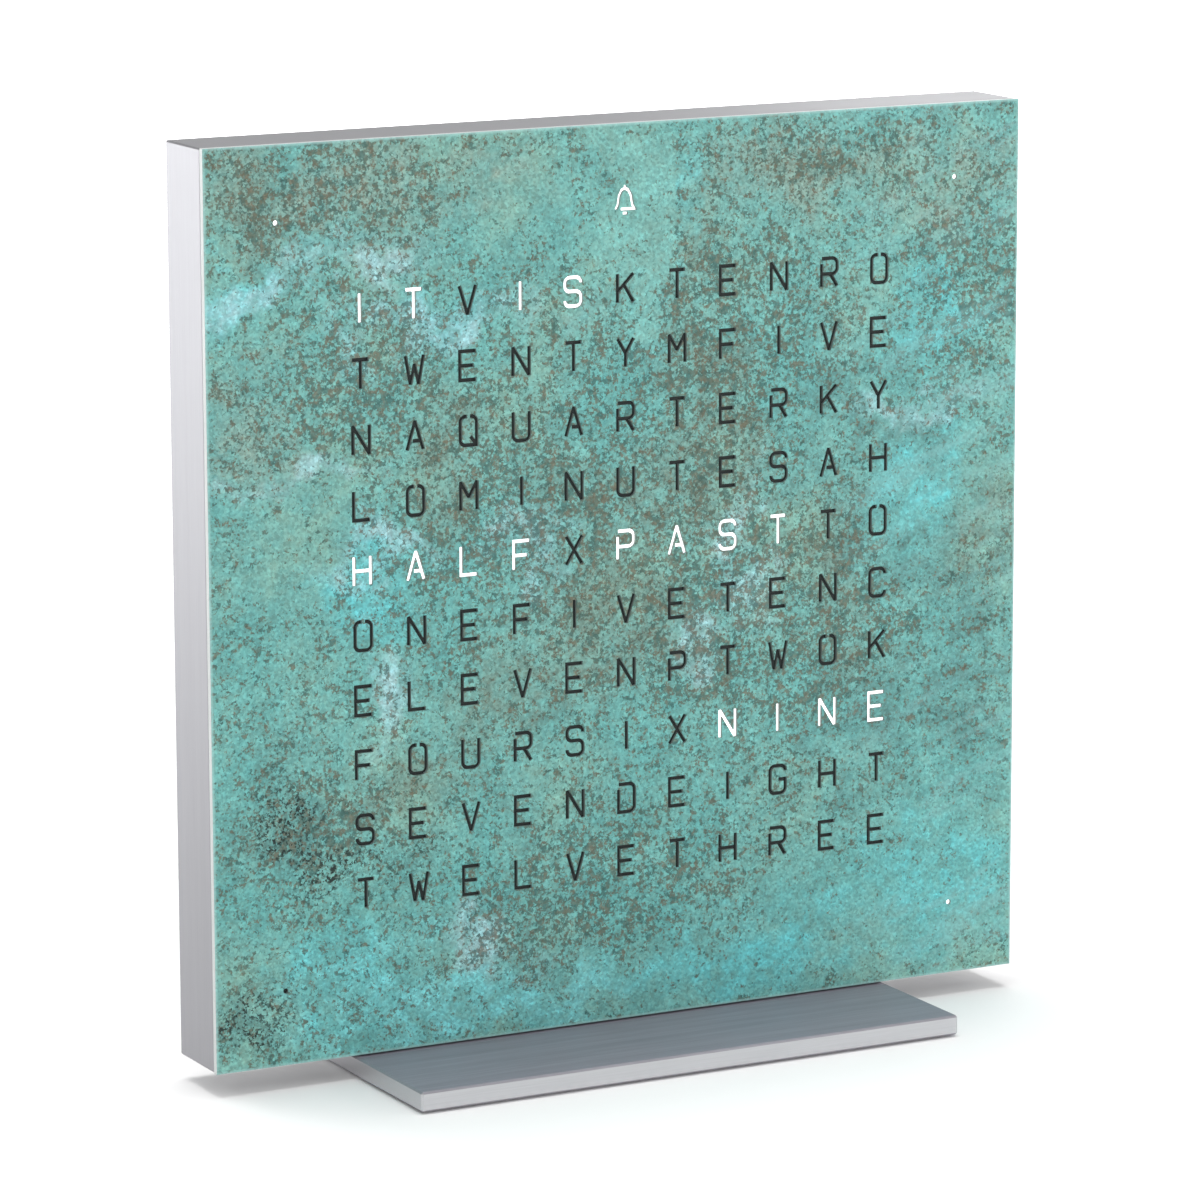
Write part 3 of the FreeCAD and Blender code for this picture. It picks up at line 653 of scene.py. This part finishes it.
def brushed_metal(name, code, roughness, stretch, contrast):
    """Brushed and anodised aluminium: fine lines catch the light unevenly, and they blur what the metal
    mirrors more one way than the other."""
    material, tree, shader, place = start_material(name)
    drawn = add(tree, "Mapping", {"Vector": place, "Scale": stretch}, vector_type="TEXTURE")
    lines = add(tree, "TexNoise", {
        "Vector": drawn, "Scale": 1 / LINE_WIDTH, "Detail": 3.0, "Roughness": 0.65,
    })
    bands = add(tree, "TexNoise", {"Vector": drawn, "Scale": 1 / BAND_WIDTH, "Detail": 2.0})
    both = add(tree, "Math", {0: bands, 1: 0.35}, operation="MULTIPLY")
    both = add(tree, "Math", {0: lines, 1: 0.65, 2: both}, operation="MULTIPLY_ADD")
    tree.links.new(shaded(tree, linear(code), both, 1 - contrast, 1.0), shader.inputs["Base Color"])
    matt = add(tree, "MapRange", {
        0: both, 1: NOISE_LOW, 2: NOISE_HIGH, 3: roughness + METAL_POLISH, 4: roughness + METAL_WEAR,
    })
    tree.links.new(matt, shader.inputs["Roughness"])
    shader.inputs["Metallic"].default_value = 1.0
    shader.inputs["Anisotropic"].default_value = 0.3
    across = add(tree, "CombineXYZ", {0: 0.1, 1: 1.0, 2: 0.15})
    tree.links.new(across, shader.inputs["Tangent"])
    normal = add(tree, "Bump", {"Height": lines, "Distance": LINE_DEPTH * MM, "Strength": 1.0})
    tree.links.new(normal, shader.inputs["Normal"])
    return material, tree, shader, lines


def satin_foot():
    """Brushed aluminium, anodised a cool grey, with a violet cast painted on its broad faces to offset
    the teal light that the face throws on them. On its broad faces the rubbed grain scatters much of
    the light, so they hardly mirror what stands on them, and the milled edges stay bright."""
    # The broad faces' violet-grey holds a painted cast that offsets the teal light from the face
    material, tree, shader, lines = brushed_metal(
        "brushed_anodised_foot_tinted_against_teal_light", "#A29DA9", 0.42, stretch=(LINE_STRETCH, 1, 1), contrast=0.4,
    )
    rubbed = shader.inputs["Base Color"].links[0].from_socket
    up = add(tree, "SeparateXYZ", {0: add(tree, "TexCoord", {}, out="Normal")}, out=2)
    up = add(tree, "Math", {0: up}, operation="ABSOLUTE")
    broad = add(tree, "MapRange", {0: up, 1: 0.5, 2: 0.8})
    milled = shaded(tree, linear("#C4C4C7"), lines, 0.9, 1.0)
    colour = add(tree, "Mix", {0: broad, 6: milled, 7: rubbed}, **COLOURS)
    tree.links.new(colour, shader.inputs["Base Color"])
    tree.links.new(add(tree, "MapRange", {0: broad, 3: 1.0, 4: 0.25}), shader.inputs["Metallic"])
    return material


# Width of the cloudy marks on plain metal, in millimetres
MARK_WIDTH = 0.5


def metal(name, code, roughness):
    """Plain plated or rolled metal with faint cloudy marks."""
    material, tree, shader, place = start_material(name)
    cloud = add(tree, "TexNoise", {
        "Vector": place, "Scale": 1 / MARK_WIDTH, "Detail": 3.0, "Roughness": 0.6,
    })
    tree.links.new(shaded(tree, linear(code), cloud, 0.9, 1.0), shader.inputs["Base Color"])
    matt = add(tree, "MapRange", {
        0: cloud, 1: NOISE_LOW, 2: NOISE_HIGH, 3: roughness + METAL_POLISH, 4: roughness + METAL_WEAR,
    })
    tree.links.new(matt, shader.inputs["Roughness"])
    shader.inputs["Metallic"].default_value = 1.0
    return material


# A moulding's clouds are this many grains wide, and its roughness goes this far up and down
GRAINS_TO_A_CLOUD = 20
MOULD_SPREAD = 0.06


def moulded(name, code, roughness, grain=0.35, depth=0.01, contrast=0.08, ior=1.5):
    """Moulded plastic, rubber or a baked coat: an even colour with the fine grain of its mould, the
    grain's width and depth in millimetres."""
    material, tree, shader, place = start_material(name)
    bits = add(tree, "TexNoise", {
        "Vector": place, "Scale": 1 / grain, "Detail": 2.0, "Roughness": 0.55,
    })
    cloud = add(tree, "TexNoise", {
        "Vector": place, "Scale": 1 / (GRAINS_TO_A_CLOUD * grain), "Detail": 2.0,
    })
    both = add(tree, "Math", {0: cloud, 1: 0.4}, operation="MULTIPLY")
    both = add(tree, "Math", {0: bits, 1: 0.6, 2: both}, operation="MULTIPLY_ADD")
    colour = shaded(tree, linear(code), both, 1 - contrast, 1 + contrast)
    tree.links.new(colour, shader.inputs["Base Color"])
    matt = add(tree, "MapRange", {
        0: bits, 1: NOISE_LOW, 2: NOISE_HIGH, 3: roughness - MOULD_SPREAD, 4: roughness + MOULD_SPREAD,
    })
    tree.links.new(matt, shader.inputs["Roughness"])
    shader.inputs["IOR"].default_value = ior
    normal = add(tree, "Bump", {"Height": bits, "Distance": depth * MM, "Strength": 1.0})
    tree.links.new(normal, shader.inputs["Normal"])
    return material


# The lit resin's clouds, in millimetres, and how brightly it glows
RESIN_CLOUD_WIDTH = 2.0
RESIN_GLOW = 1.15


def lit_resin():
    """Clear milky resin with a white light behind it, a touch uneven like a light behind a diffuser."""
    material, tree, shader, place = start_material("milky_resin_lit")
    cloud = add(tree, "TexNoise", {"Vector": place, "Scale": 1 / RESIN_CLOUD_WIDTH, "Detail": 1.0})
    shader.inputs["Base Color"].default_value = linear("#F4F6F6")
    shader.inputs["Emission Color"].default_value = linear("#FFFFFF")
    glow = add(tree, "MapRange", {
        0: cloud, 1: NOISE_LOW, 2: NOISE_HIGH, 3: RESIN_GLOW * 0.9, 4: RESIN_GLOW,
    })
    tree.links.new(glow, shader.inputs["Emission Strength"])
    shader.inputs["Roughness"].default_value = 0.45
    return material


def glowing_diffuser(spots):
    """Opal acrylic sheet: milky white, with a soft spot of light where a cell behind it is lit."""
    material = moulded("opal_acrylic", "#E9EAE6", 0.4, depth=0.001, contrast=0.02)
    tree = material.node_tree
    shader = tree.nodes["Principled BSDF"]
    place = add(tree, "TexCoord", {}, out="Object")
    place = add(tree, "Mapping", {"Vector": place, "Scale": (1 / MM,) * 3})
    face = add(tree, "VectorMath", {0: place, 1: (0, 0, -MIDDLE_Z)}, operation="ADD")
    spot = patches(tree, face, spots, edge=0.55, fall=1.05)
    shader.inputs["Emission Color"].default_value = linear("#FFFFFF")
    glow = add(tree, "Math", {0: spot, 1: 0.9}, operation="MULTIPLY")
    tree.links.new(glow, shader.inputs["Emission Strength"])
    return material


# Finishes, named for the real ones, each with what it gives the eye

patina = verdigris_patina()
# Bare steel at the plate's ground edge: light, dull and even
cut_steel = moulded("ground_steel_edge", "#C9CECD", 0.45, grain=0.2, depth=0.004)
# The narrow walls of the cuts, greyed by the bath and darkened further as painted shade inside the cuts
cut_wall_oxide_and_shade = moulded("oxidised_steel_cut_and_painted_shade", "#828D8A", 0.6, grain=0.2, depth=0.004)
# A thin matt black coat on the cover's back
cover_backing = moulded("baked_black_primer", "#2B2D2C", 0.6)
# Resin with a soft sheen, nearly black for its smoky tint and as painted shade of the unlit cell behind
# it, so that unlit letters read as dark
resin_smoke_and_shade = moulded("smoked_resin_and_painted_shade", "#161E1D", 0.6, grain=0.6, depth=0.002, ior=1.4)
resin_lit = lit_resin()
# Clear anodised and brushed along its sides, so that fine lines run round the frame
body_aluminium = brushed_metal(
    "brushed_anodised_frame", "#9F9FA3", 0.42, stretch=(LINE_STRETCH, 1, LINE_STRETCH), contrast=0.2,
)[0]
foot_aluminium = satin_foot()
# Bright plating with a warm cast
nickel = metal("nickel_plated_magnet", "#C9C6C0", 0.22)
# White plastic that throws the light forwards
white_moulding = moulded("white_abs", "#E2E2DE", 0.5)
# Smooth deep green lacquer over the copper, which shows through as cloudy shade
solder_mask = moulded("green_solder_mask", "#17452C", 0.38, grain=0.8, depth=0.004, contrast=0.16)
# Cream white with a hint of the yellow phosphor
led_body = moulded("led_package", "#E9E6C9", 0.35)
# Near black and faintly grained
chip_epoxy = moulded("black_moulding_epoxy", "#1C1C1D", 0.55)
# Clean silver sheet metal
tinned_can = metal("tinned_can", "#C4C4C2", 0.3)
# Brown fired clay with a slight gloss
ceramic = moulded("fired_ceramic", "#9A7B5D", 0.45)
# Black plastic with a soft sheen
black_nylon = moulded("black_nylon", "#202022", 0.5)
# Bright rolled steel
stainless = metal("stainless_cell", "#CFCFCD", 0.28)
# Steel drawn round, a shade bluer and duller
drawn_steel = metal("drawn_socket_steel", "#B4B5B8", 0.32)
# Thin yellow gold plating
gilt = metal("gold_plated_contact", "#D9B25E", 0.28)
# Stamped steel, duller than the cell
switch_steel = metal("pressed_switch_steel", "#BDBDBB", 0.35)
# Undyed plastic: a milky off-white
natural_nylon = moulded("natural_nylon", "#E0DED2", 0.45)
# Black plastic with the coarse spark grain that hides finger marks
back_panel = moulded("grained_black_abs", "#232425", 0.62, grain=0.45, depth=0.03, contrast=0.12)
# Dark grey plastic, finer than the panel round it
key_grey = moulded("fine_grey_abs", "#3A3B3E", 0.5, grain=0.3, depth=0.008)
# Bluish bright zinc on the screws, and a duller one on the bar
zinc_steel = metal("zinc_plated_screw", "#AEB0B2", 0.33)
bar_zinc = metal("zinc_plated_bar", "#A2A4A6", 0.38)
# Black rubber sheet between the body and the foot, whose thin black line also serves as a painted
# contact shadow there
rubber_and_shadow_line = moulded("thin_epdm_sheet_and_painted_shadow", "#141414", 0.8)
# Dead matt black strips with a coarse skin
soft_rubber = moulded("soft_rubber_strip", "#1E1E1F", 0.85, grain=0.6, depth=0.03)

# A lit cell behind each lit letter and sign, and half the width and height of its spot of light
LIT_CELL_HALF = (3.4, 3.7)
LIT_CELLS = letter_places(str.isupper)
LIT_CELLS += [(a * DOT_PLACE, b * DOT_PLACE) for a, b in LIT_DOTS]
LIT_CELLS += [(0, DOT_PLACE)]
opal_sheet = glowing_diffuser([place + LIT_CELL_HALF for place in LIT_CELLS])

NODE_FINISHES = {
    "front_cover": patina, "cover_magnets": nickel, "housing": body_aluminium, "diffuser": opal_sheet,
    "light_guide": white_moulding, "housing_magnets": nickel, "led_board": solder_mask, "leds": led_body,
    "board_screws": zinc_steel, "controller_chip": chip_epoxy, "driver_chips": chip_epoxy,
    "crystal": tinned_can, "inductor": chip_epoxy, "capacitors": ceramic, "cell_holder": black_nylon,
    "coin_cell": stainless, "buzzer": black_nylon, "power_inlet": drawn_steel,
    "button_switches": switch_steel, "rear_cover": back_panel, "rear_screws": zinc_steel,
    "foot_plate": foot_aluminium, "foot_gasket": rubber_and_shadow_line, "foot_bar": bar_zinc,
    "foot_screws": zinc_steel, "foot_pads": soft_rubber,
}
for n in range(1, 5):
    NODE_FINISHES["button_" + str(n)] = key_grey
    NODE_FINISHES["plunger_" + str(n)] = natural_nylon
for name, finish in NODE_FINISHES.items():
    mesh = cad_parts[name].data
    mesh.materials.clear()
    mesh.materials.append(finish)


# The cover, with every letter, dot and the bell cut through it

lit_letters, unlit_letters = letter_outlines()
lit_signs, unlit_signs = sign_outlines()
lit_shapes = lit_letters + lit_signs
unlit_shapes = unlit_letters + unlit_signs

# The cover's materials, in the order of its slots
ON_FACE, ON_EDGE, ON_BACK, ON_CUT = range(4)


def patinated_cover():
    """A square plate with its outer edge and its cuts bevelled at the front."""
    corner = FACE_HALF
    square = np.array(((-corner, -corner), (corner, -corner), (corner, corner), (-corner, corner)))
    cuts = lit_shapes + unlit_shapes
    bevels = [EDGE_BEVEL] + [CUT_BEVEL] * len(cuts)
    still = [0.0] * len(bevels)
    steps = [
        (bevels, FRONT_Y),
        (still, FRONT_Y + CUT_BEVEL),
        (still, COVER_BACK),
    ]
    points, faces, sides = plate_arrays([square] + cuts, steps)
    bevel_end = sides // 2
    kinds = np.full(len(faces), ON_EDGE, dtype=np.int32)
    kinds[:bevel_end] = ON_FACE
    kinds[bevel_end + len(square):sides] = ON_CUT
    depth = np.array([points[list(face), 1].mean() for face in faces[sides:]])
    kinds[sides:] = np.where(depth > FRONT_Y + CUT_BEVEL, ON_BACK, ON_FACE)
    materials = [patina, cut_steel, cover_backing, cut_wall_oxide_and_shade]
    return make_mesh("patinated_cover", points, faces, materials, kinds)


def placed(piece, body, slot, *nodes):
    """Puts a finished piece on its body and hides the nodes that it stands for. Its slot is not used."""
    if nodes:
        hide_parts(*nodes)
    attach(piece, body)


placed(patinated_cover(), "cover", "cover_patina", "front_cover")
for name, outlines, finish in (
    ("resin_lit", lit_shapes, resin_lit),
    ("resin_unlit", unlit_shapes, resin_smoke_and_shade),
):
    points, faces = filled_shapes(outlines, FRONT_Y + RESIN_DEPTH, COVER_BACK)
    placed(make_mesh(name, points, faces, [finish]), "cover", "diffuser_white")


# Screws, keys and contacts

# A screw's socket, in millimetres: its depth is a share of half its width, its floor sinks to a point,
# and its bevelled rim is still partly a hexagon
SOCKET_BEVEL = 0.12
SOCKET_DEPTH_SHARE = 0.9
SOCKET_POINT = 0.2
RIM_HEXAGON = 0.7
SCREW_COLUMNS = 24


def closed_rows(grid, first, last):
    """Points and faces of a closed form: a grid of rows that go round it, and a point at each end."""
    rows, columns = grid.shape[:2]
    points = np.concatenate([[first], grid.reshape(-1, 3), [last]])
    here = 1 + np.arange(rows * columns).reshape(rows, columns)
    after = np.roll(here, -1, axis=1)
    quads = np.stack([here[:-1], after[:-1], after[1:], here[1:]], axis=-1).reshape(-1, 4)
    start = np.column_stack([np.zeros(columns, dtype=int), after[0], here[0]])
    end = np.column_stack([np.full(columns, len(points) - 1), here[-1], after[-1]])
    return points, quads.tolist() + start.tolist() + end.tolist()


def socket_screw(head_radius, shank_radius, length, across):
    """A countersunk screw with a hexagon socket, its flat head at height 0 and its shank below.

    A row has a radius, a height and how far it is a hexagon; a hexagon's radius at an angle is
    1 / cos(the angle's distance from the middle of its side) times half its width."""
    flat = across / 2
    depth = SOCKET_DEPTH_SHARE * flat
    sink = head_radius - shank_radius
    rows = np.array((
        (flat, -depth, 1), (flat, -SOCKET_BEVEL, 1), (flat + SOCKET_BEVEL, 0, RIM_HEXAGON),
        (head_radius - SOCKET_BEVEL, 0, 0), (head_radius, -SOCKET_BEVEL, 0), (shank_radius, -sink, 0),
        (shank_radius, -length + SOCKET_BEVEL, 0), (shank_radius - SOCKET_BEVEL, -length, 0),
    ))
    angle = np.arange(SCREW_COLUMNS) * 2 * np.pi / SCREW_COLUMNS
    side = (angle + np.pi / 6) % (np.pi / 3) - np.pi / 6
    radius = rows[:, :1] * (1 + rows[:, 2:] * (1 / np.cos(side) - 1))
    height = np.broadcast_to(rows[:, 1:2], radius.shape)
    grid = np.stack([radius * np.cos(angle), radius * np.sin(angle), height], axis=-1)
    return closed_rows(grid, (0, 0, -depth - SOCKET_POINT), (0, 0, -length))


def screws(name, node_name, head_radius, shank_radius, across, places, turn):
    """A set of screws in the place of a node: turn takes a screw's own axes to the object's."""
    low, high = [np.array(corner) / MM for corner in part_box(node_name)]
    length = abs((high - low) @ np.abs(turn[2]))
    points, faces = socket_screw(head_radius, shank_radius, length, across)
    parts = [(points @ turn + place, faces) for place in places]
    placed(make_mesh(name, *joined(parts), [zinc_steel]), "clock_body", "screw_steel", node_name)


REAR_HEAD_RADIUS = 1.9
REAR_SHANK_RADIUS = 0.95
REAR_SOCKET = 1.3
rear_low, rear_high = [np.array(corner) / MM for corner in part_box("rear_screws")]
rear_places = [
    (x, rear_high[1], z)
    for x in (rear_low[0] + REAR_HEAD_RADIUS, rear_high[0] - REAR_HEAD_RADIUS)
    for z in (rear_low[2] + REAR_HEAD_RADIUS, rear_high[2] - REAR_HEAD_RADIUS)
]
FACING_BACK = np.array(((-1, 0, 0), (0, 0, 1), (0, 1, 0)))
screws(
    "rear_socket_screws", "rear_screws", REAR_HEAD_RADIUS, REAR_SHANK_RADIUS, REAR_SOCKET,
    rear_places, FACING_BACK,
)

FOOT_HEAD_RADIUS = 2.8
FOOT_SHANK_RADIUS = 1.45
FOOT_SOCKET = 2.0
foot_low, foot_high = [np.array(corner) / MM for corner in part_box("foot_screws")]
foot_places = [
    (x, 0, foot_low[2])
    for x in (foot_low[0] + FOOT_HEAD_RADIUS, foot_high[0] - FOOT_HEAD_RADIUS)
]
FACING_DOWN = np.array(((-1, 0, 0), (0, 1, 0), (0, 0, -1)))
screws(
    "foot_socket_screws", "foot_screws", FOOT_HEAD_RADIUS, FOOT_SHANK_RADIUS, FOOT_SOCKET,
    foot_places, FACING_DOWN,
)

# A setting key, in millimetres. The power of its superellipse makes it nearly a rectangle.
KEY_ROUNDING = 0.4
KEY_DISH = 0.22
KEY_FLANGE_REACH = 0.9
KEY_FLANGE_THICKNESS = 0.6
KEY_STEM_LENGTH = 0.4
KEY_STEM_HALF = 1.5
KEY_POWER = 9.0
KEY_COLUMNS = 64
DISH_SHARES = np.array((0.25, 0.5, 0.75, 0.9))
ROUNDING_ROWS = 5


def key(n):
    """A setting key: a dished cap with rounded edges on a flange and a stem.

    Each row is a superellipse, |x / a| ** p + |z / b| ** p = 1, at its own height. Over the top it
    shrinks towards the middle and sinks by the dish times 1 - share squared, and at the rim it follows
    a quarter circle."""
    node_name = "button_" + str(n)
    low, high = [np.array(corner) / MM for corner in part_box(node_name)]
    middle = (low + high) / 2
    flange = (high - low)[[0, 2]] / 2
    cap = flange - KEY_FLANGE_REACH
    rim = cap - KEY_ROUNDING
    bend = np.linspace(0, np.pi / 2, ROUNDING_ROWS)
    flange_front = low[1] + KEY_STEM_LENGTH
    flange_back = flange_front + KEY_FLANGE_THICKNESS
    stem = np.full(2, KEY_STEM_HALF)
    sizes = np.concatenate([
        DISH_SHARES[:, None] * rim,
        rim + KEY_ROUNDING * np.sin(bend)[:, None],
        [cap, flange, flange, stem, stem],
    ])
    heights = np.concatenate([
        high[1] - KEY_DISH * (1 - DISH_SHARES ** 2),
        high[1] - KEY_ROUNDING * (1 - np.cos(bend)),
        [flange_back, flange_back, flange_front, flange_front, low[1]],
    ])
    angle = (np.arange(KEY_COLUMNS) + 0.5) * 2 * np.pi / KEY_COLUMNS
    across = np.sign(np.cos(angle)) * np.abs(np.cos(angle)) ** (2 / KEY_POWER)
    along = np.sign(np.sin(angle)) * np.abs(np.sin(angle)) ** (2 / KEY_POWER)
    grid = np.stack([
        middle[0] + sizes[:, :1] * across,
        np.broadcast_to(heights[:, None], (len(heights), KEY_COLUMNS)),
        middle[2] + sizes[:, 1:] * along,
    ], axis=-1)
    first = (middle[0], high[1] - KEY_DISH, middle[2])
    last = (middle[0], low[1], middle[2])
    points, faces = closed_rows(grid, first, last)
    piece = make_mesh("key_" + str(n), points, faces, [key_grey])
    placed(piece, "push_" + str(n), "button_plastic", node_name)


for n in range(1, 5):
    key(n)

# The strips on the socket's tongue, in millimetres
CONTACT_COUNT = 12
CONTACT_PITCH = 0.5
CONTACT_HALF = 0.14
CONTACT_LENGTH = 3.4
CONTACT_THICKNESS = 0.05
CONTACT_SETBACK = 0.3
CONTACT_TAPER = 0.3
TONGUE_HALF = 0.35
TONGUE_END = 4.2


def inlet_contacts():
    """Thin gilt strips on both sides of the socket's tongue, each tapered at the end that meets the
    plug. A row of a strip has its share of the full width, its place along the tongue and its share of
    the full thickness."""
    low, high = [np.array(corner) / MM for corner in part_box("power_inlet")]
    middle_z = (low[2] + high[2]) / 2
    end = TONGUE_END - CONTACT_SETBACK
    shape = np.array(((1, end - CONTACT_LENGTH, 1), (1, end - CONTACT_TAPER, 1), (0.7, end, 0.4)))
    corners = np.array(((-1, 0), (1, 0), (1, 1), (-1, 1)))
    parts = []
    for side in (-1, 1):
        for n in range(CONTACT_COUNT):
            x = (n - (CONTACT_COUNT - 1) / 2) * CONTACT_PITCH
            across = x + shape[:, :1] * corners[:, 0] * CONTACT_HALF
            along = np.broadcast_to(shape[:, 1:2], across.shape)
            up = middle_z + side * (TONGUE_HALF + shape[:, 2:] * corners[:, 1] * CONTACT_THICKNESS)
            grid = np.stack([across, along, up], axis=-1)
            parts.append(closed_rows(grid, grid[0].mean(axis=0), grid[-1].mean(axis=0)))
    placed(make_mesh("inlet_contacts", *joined(parts), [gilt]), "clock_body", "socket_steel")


inlet_contacts()


# Floor, lamps and camera

FLOOR_REACH = 12.0

# The floor's own light grows from a point in front of the clock, over these distances in metres. It is
# faint near the clock, a painted shade round it.
GLOW_MIDDLE = (0.1, -0.15, 0)
GLOW_NEAR = 0.2
GLOW_FAR = 1.2
GLOW_LOW = 0.04
GLOW_HIGH = 1.2

# The strength of the light from all round, and what mirrors see from the horizon up to this height
SOFT_LIGHT = 0.5
SWEEP_LOW = 2.0
SWEEP_HIGH = 0.3
SWEEP_HEIGHT = 0.38


def studio_floor():
    """A wide floor in pale matt paint, which gives soft shadows and no shine. The camera and mirrors
    see it as an over-lit sweep further out, which keeps it white and brightens the frame's side. Near
    the clock its glow is faint, a painted shade round the clock that the frame's lower side mirrors."""
    mesh = bpy.data.meshes.new("studio_floor")
    corners = np.array(((-1, -1, 0), (1, -1, 0), (1, 1, 0), (-1, 1, 0))) * FLOOR_REACH
    mesh.from_pydata(corners.tolist(), [], [(0, 1, 2, 3)])
    material = bpy.data.materials.new("pale_floor_paint")
    material.use_nodes = True
    tree = material.node_tree
    shader = tree.nodes["Principled BSDF"]
    shader.inputs["Base Color"].default_value = linear("#F4F4F4")
    shader.inputs["Roughness"].default_value = 0.9
    shader.inputs["Specular IOR Level"].default_value = 0.0
    shader.inputs["Emission Color"].default_value = linear("#FFFFFF")
    seen = 0.0
    for ray in ("Is Camera Ray", "Is Glossy Ray", "Is Transmission Ray"):
        path = add(tree, "LightPath", {}, out=ray)
        seen = add(tree, "Math", {0: seen, 1: path}, operation="MAXIMUM")
    place = add(tree, "TexCoord", {}, out="Object")
    away = add(tree, "VectorMath", {0: place, 1: GLOW_MIDDLE}, out="Value", operation="DISTANCE")
    # The glow is faint near the clock: a painted shade round it, which the frame's side mirrors
    glow = add(tree, "MapRange", {
        0: away, 1: GLOW_NEAR, 2: GLOW_FAR, 3: GLOW_LOW, 4: GLOW_HIGH,
    }, **SOFT)
    glow = add(tree, "Math", {0: seen, 1: glow}, operation="MULTIPLY")
    tree.links.new(glow, shader.inputs["Emission Strength"])
    mesh.materials.append(material)
    floor = bpy.data.objects.new("studio_floor", mesh)
    bpy.context.scene.collection.objects.link(floor)


def studio_world():
    """Soft light from all round. The camera sees white, and mirrors see a white sweep that
    darkens overhead, as in a studio with a dark ceiling."""
    world = bpy.data.worlds.new("studio")
    bpy.context.scene.world = world
    world.use_nodes = True
    tree = world.node_tree
    background = tree.nodes["Background"]
    up = add(tree, "SeparateXYZ", {0: add(tree, "TexCoord", {}, out="Generated")}, out=2)
    sweep = add(tree, "MapRange", {
        0: up, 1: 0.0, 2: SWEEP_HEIGHT, 3: SWEEP_LOW, 4: SWEEP_HIGH,
    }, **SOFT)
    glossy = add(tree, "LightPath", {}, out="Is Glossy Ray")
    through = add(tree, "LightPath", {}, out="Is Transmission Ray")
    mirrored = add(tree, "Math", {0: glossy, 1: through}, operation="MAXIMUM")
    camera_ray = add(tree, "LightPath", {}, out="Is Camera Ray")
    strength = add(tree, "Mix", {0: mirrored, 2: SOFT_LIGHT, 3: sweep})
    strength = add(tree, "Mix", {0: camera_ray, 2: strength, 3: 1.0})
    tree.links.new(strength, background.inputs["Strength"])
    background.inputs["Color"].default_value = linear("#FFFFFF")


def lamp(name, kind, place, target, power, **settings):
    """A lamp at a place, aimed at a point. A sun's power is per square metre, another lamp's in all."""
    data = bpy.data.lights.new(name, kind)
    data.energy = power
    for setting, value in settings.items():
        setattr(data, setting, value)
    made = bpy.data.objects.new(name, data)
    made.location = place
    made.rotation_euler = (Vector(target) - Vector(place)).to_track_quat("-Z", "Y").to_euler()
    bpy.context.scene.collection.objects.link(made)


# The camera, solved from the corners of the face in the photograph: a long lens from the left
CAMERA_PLACE = (-0.4008, -0.7596, 0.2339)
CAMERA_YAW = math.radians(-27.76)
CAMERA_PITCH = math.radians(11.03)
CAMERA_ROLL = math.radians(-0.17)
CAMERA_LENS = 175.71
SENSOR_WIDTH = 36.0


def camera():
    """The camera: turned about Z by the yaw, looking down by the pitch, then rolled a little."""
    data = bpy.data.cameras.new("camera")
    data.lens = CAMERA_LENS
    data.sensor_width = SENSOR_WIDTH
    ahead = Vector((
        -math.sin(CAMERA_YAW) * math.cos(CAMERA_PITCH),
        math.cos(CAMERA_YAW) * math.cos(CAMERA_PITCH),
        -math.sin(CAMERA_PITCH),
    ))
    right = ahead.cross(Vector((0, 0, 1))).normalized()
    up = right.cross(ahead)
    turned_right = right * math.cos(CAMERA_ROLL) + up * math.sin(CAMERA_ROLL)
    turned_up = up * math.cos(CAMERA_ROLL) - right * math.sin(CAMERA_ROLL)
    made = bpy.data.objects.new("camera", data)
    turned = Matrix((turned_right, turned_up, -ahead)).transposed().to_4x4()
    made.matrix_world = Matrix.Translation(CAMERA_PLACE) @ turned
    bpy.context.scene.collection.objects.link(made)
    bpy.context.scene.camera = made


studio_floor()
studio_world()
CLOCK_MIDDLE = (0, 0, MIDDLE_Z * MM)
lamp("overhead_softbox", "SUN", (0.0, 0.1, 1.1), CLOCK_MIDDLE, 2.0, angle=math.radians(36))
lamp("front_softbox", "SUN", (-0.25, -1.0, 0.25), CLOCK_MIDDLE, 0.8, angle=math.radians(40))
lamp("back_lamp", "AREA", (0.66, 0.72, 0.36), CLOCK_MIDDLE, 0.9, size=0.4)
lamp("left_lamp", "AREA", (-0.42, 0.8, 0.3), CLOCK_MIDDLE, 3.0, size=0.4)
lamp("right_lamp", "AREA", (0.34, -0.26, 0.16), CLOCK_MIDDLE, 0.35, size=0.2)
camera()
bpy.context.scene.view_settings.view_transform = "Standard"
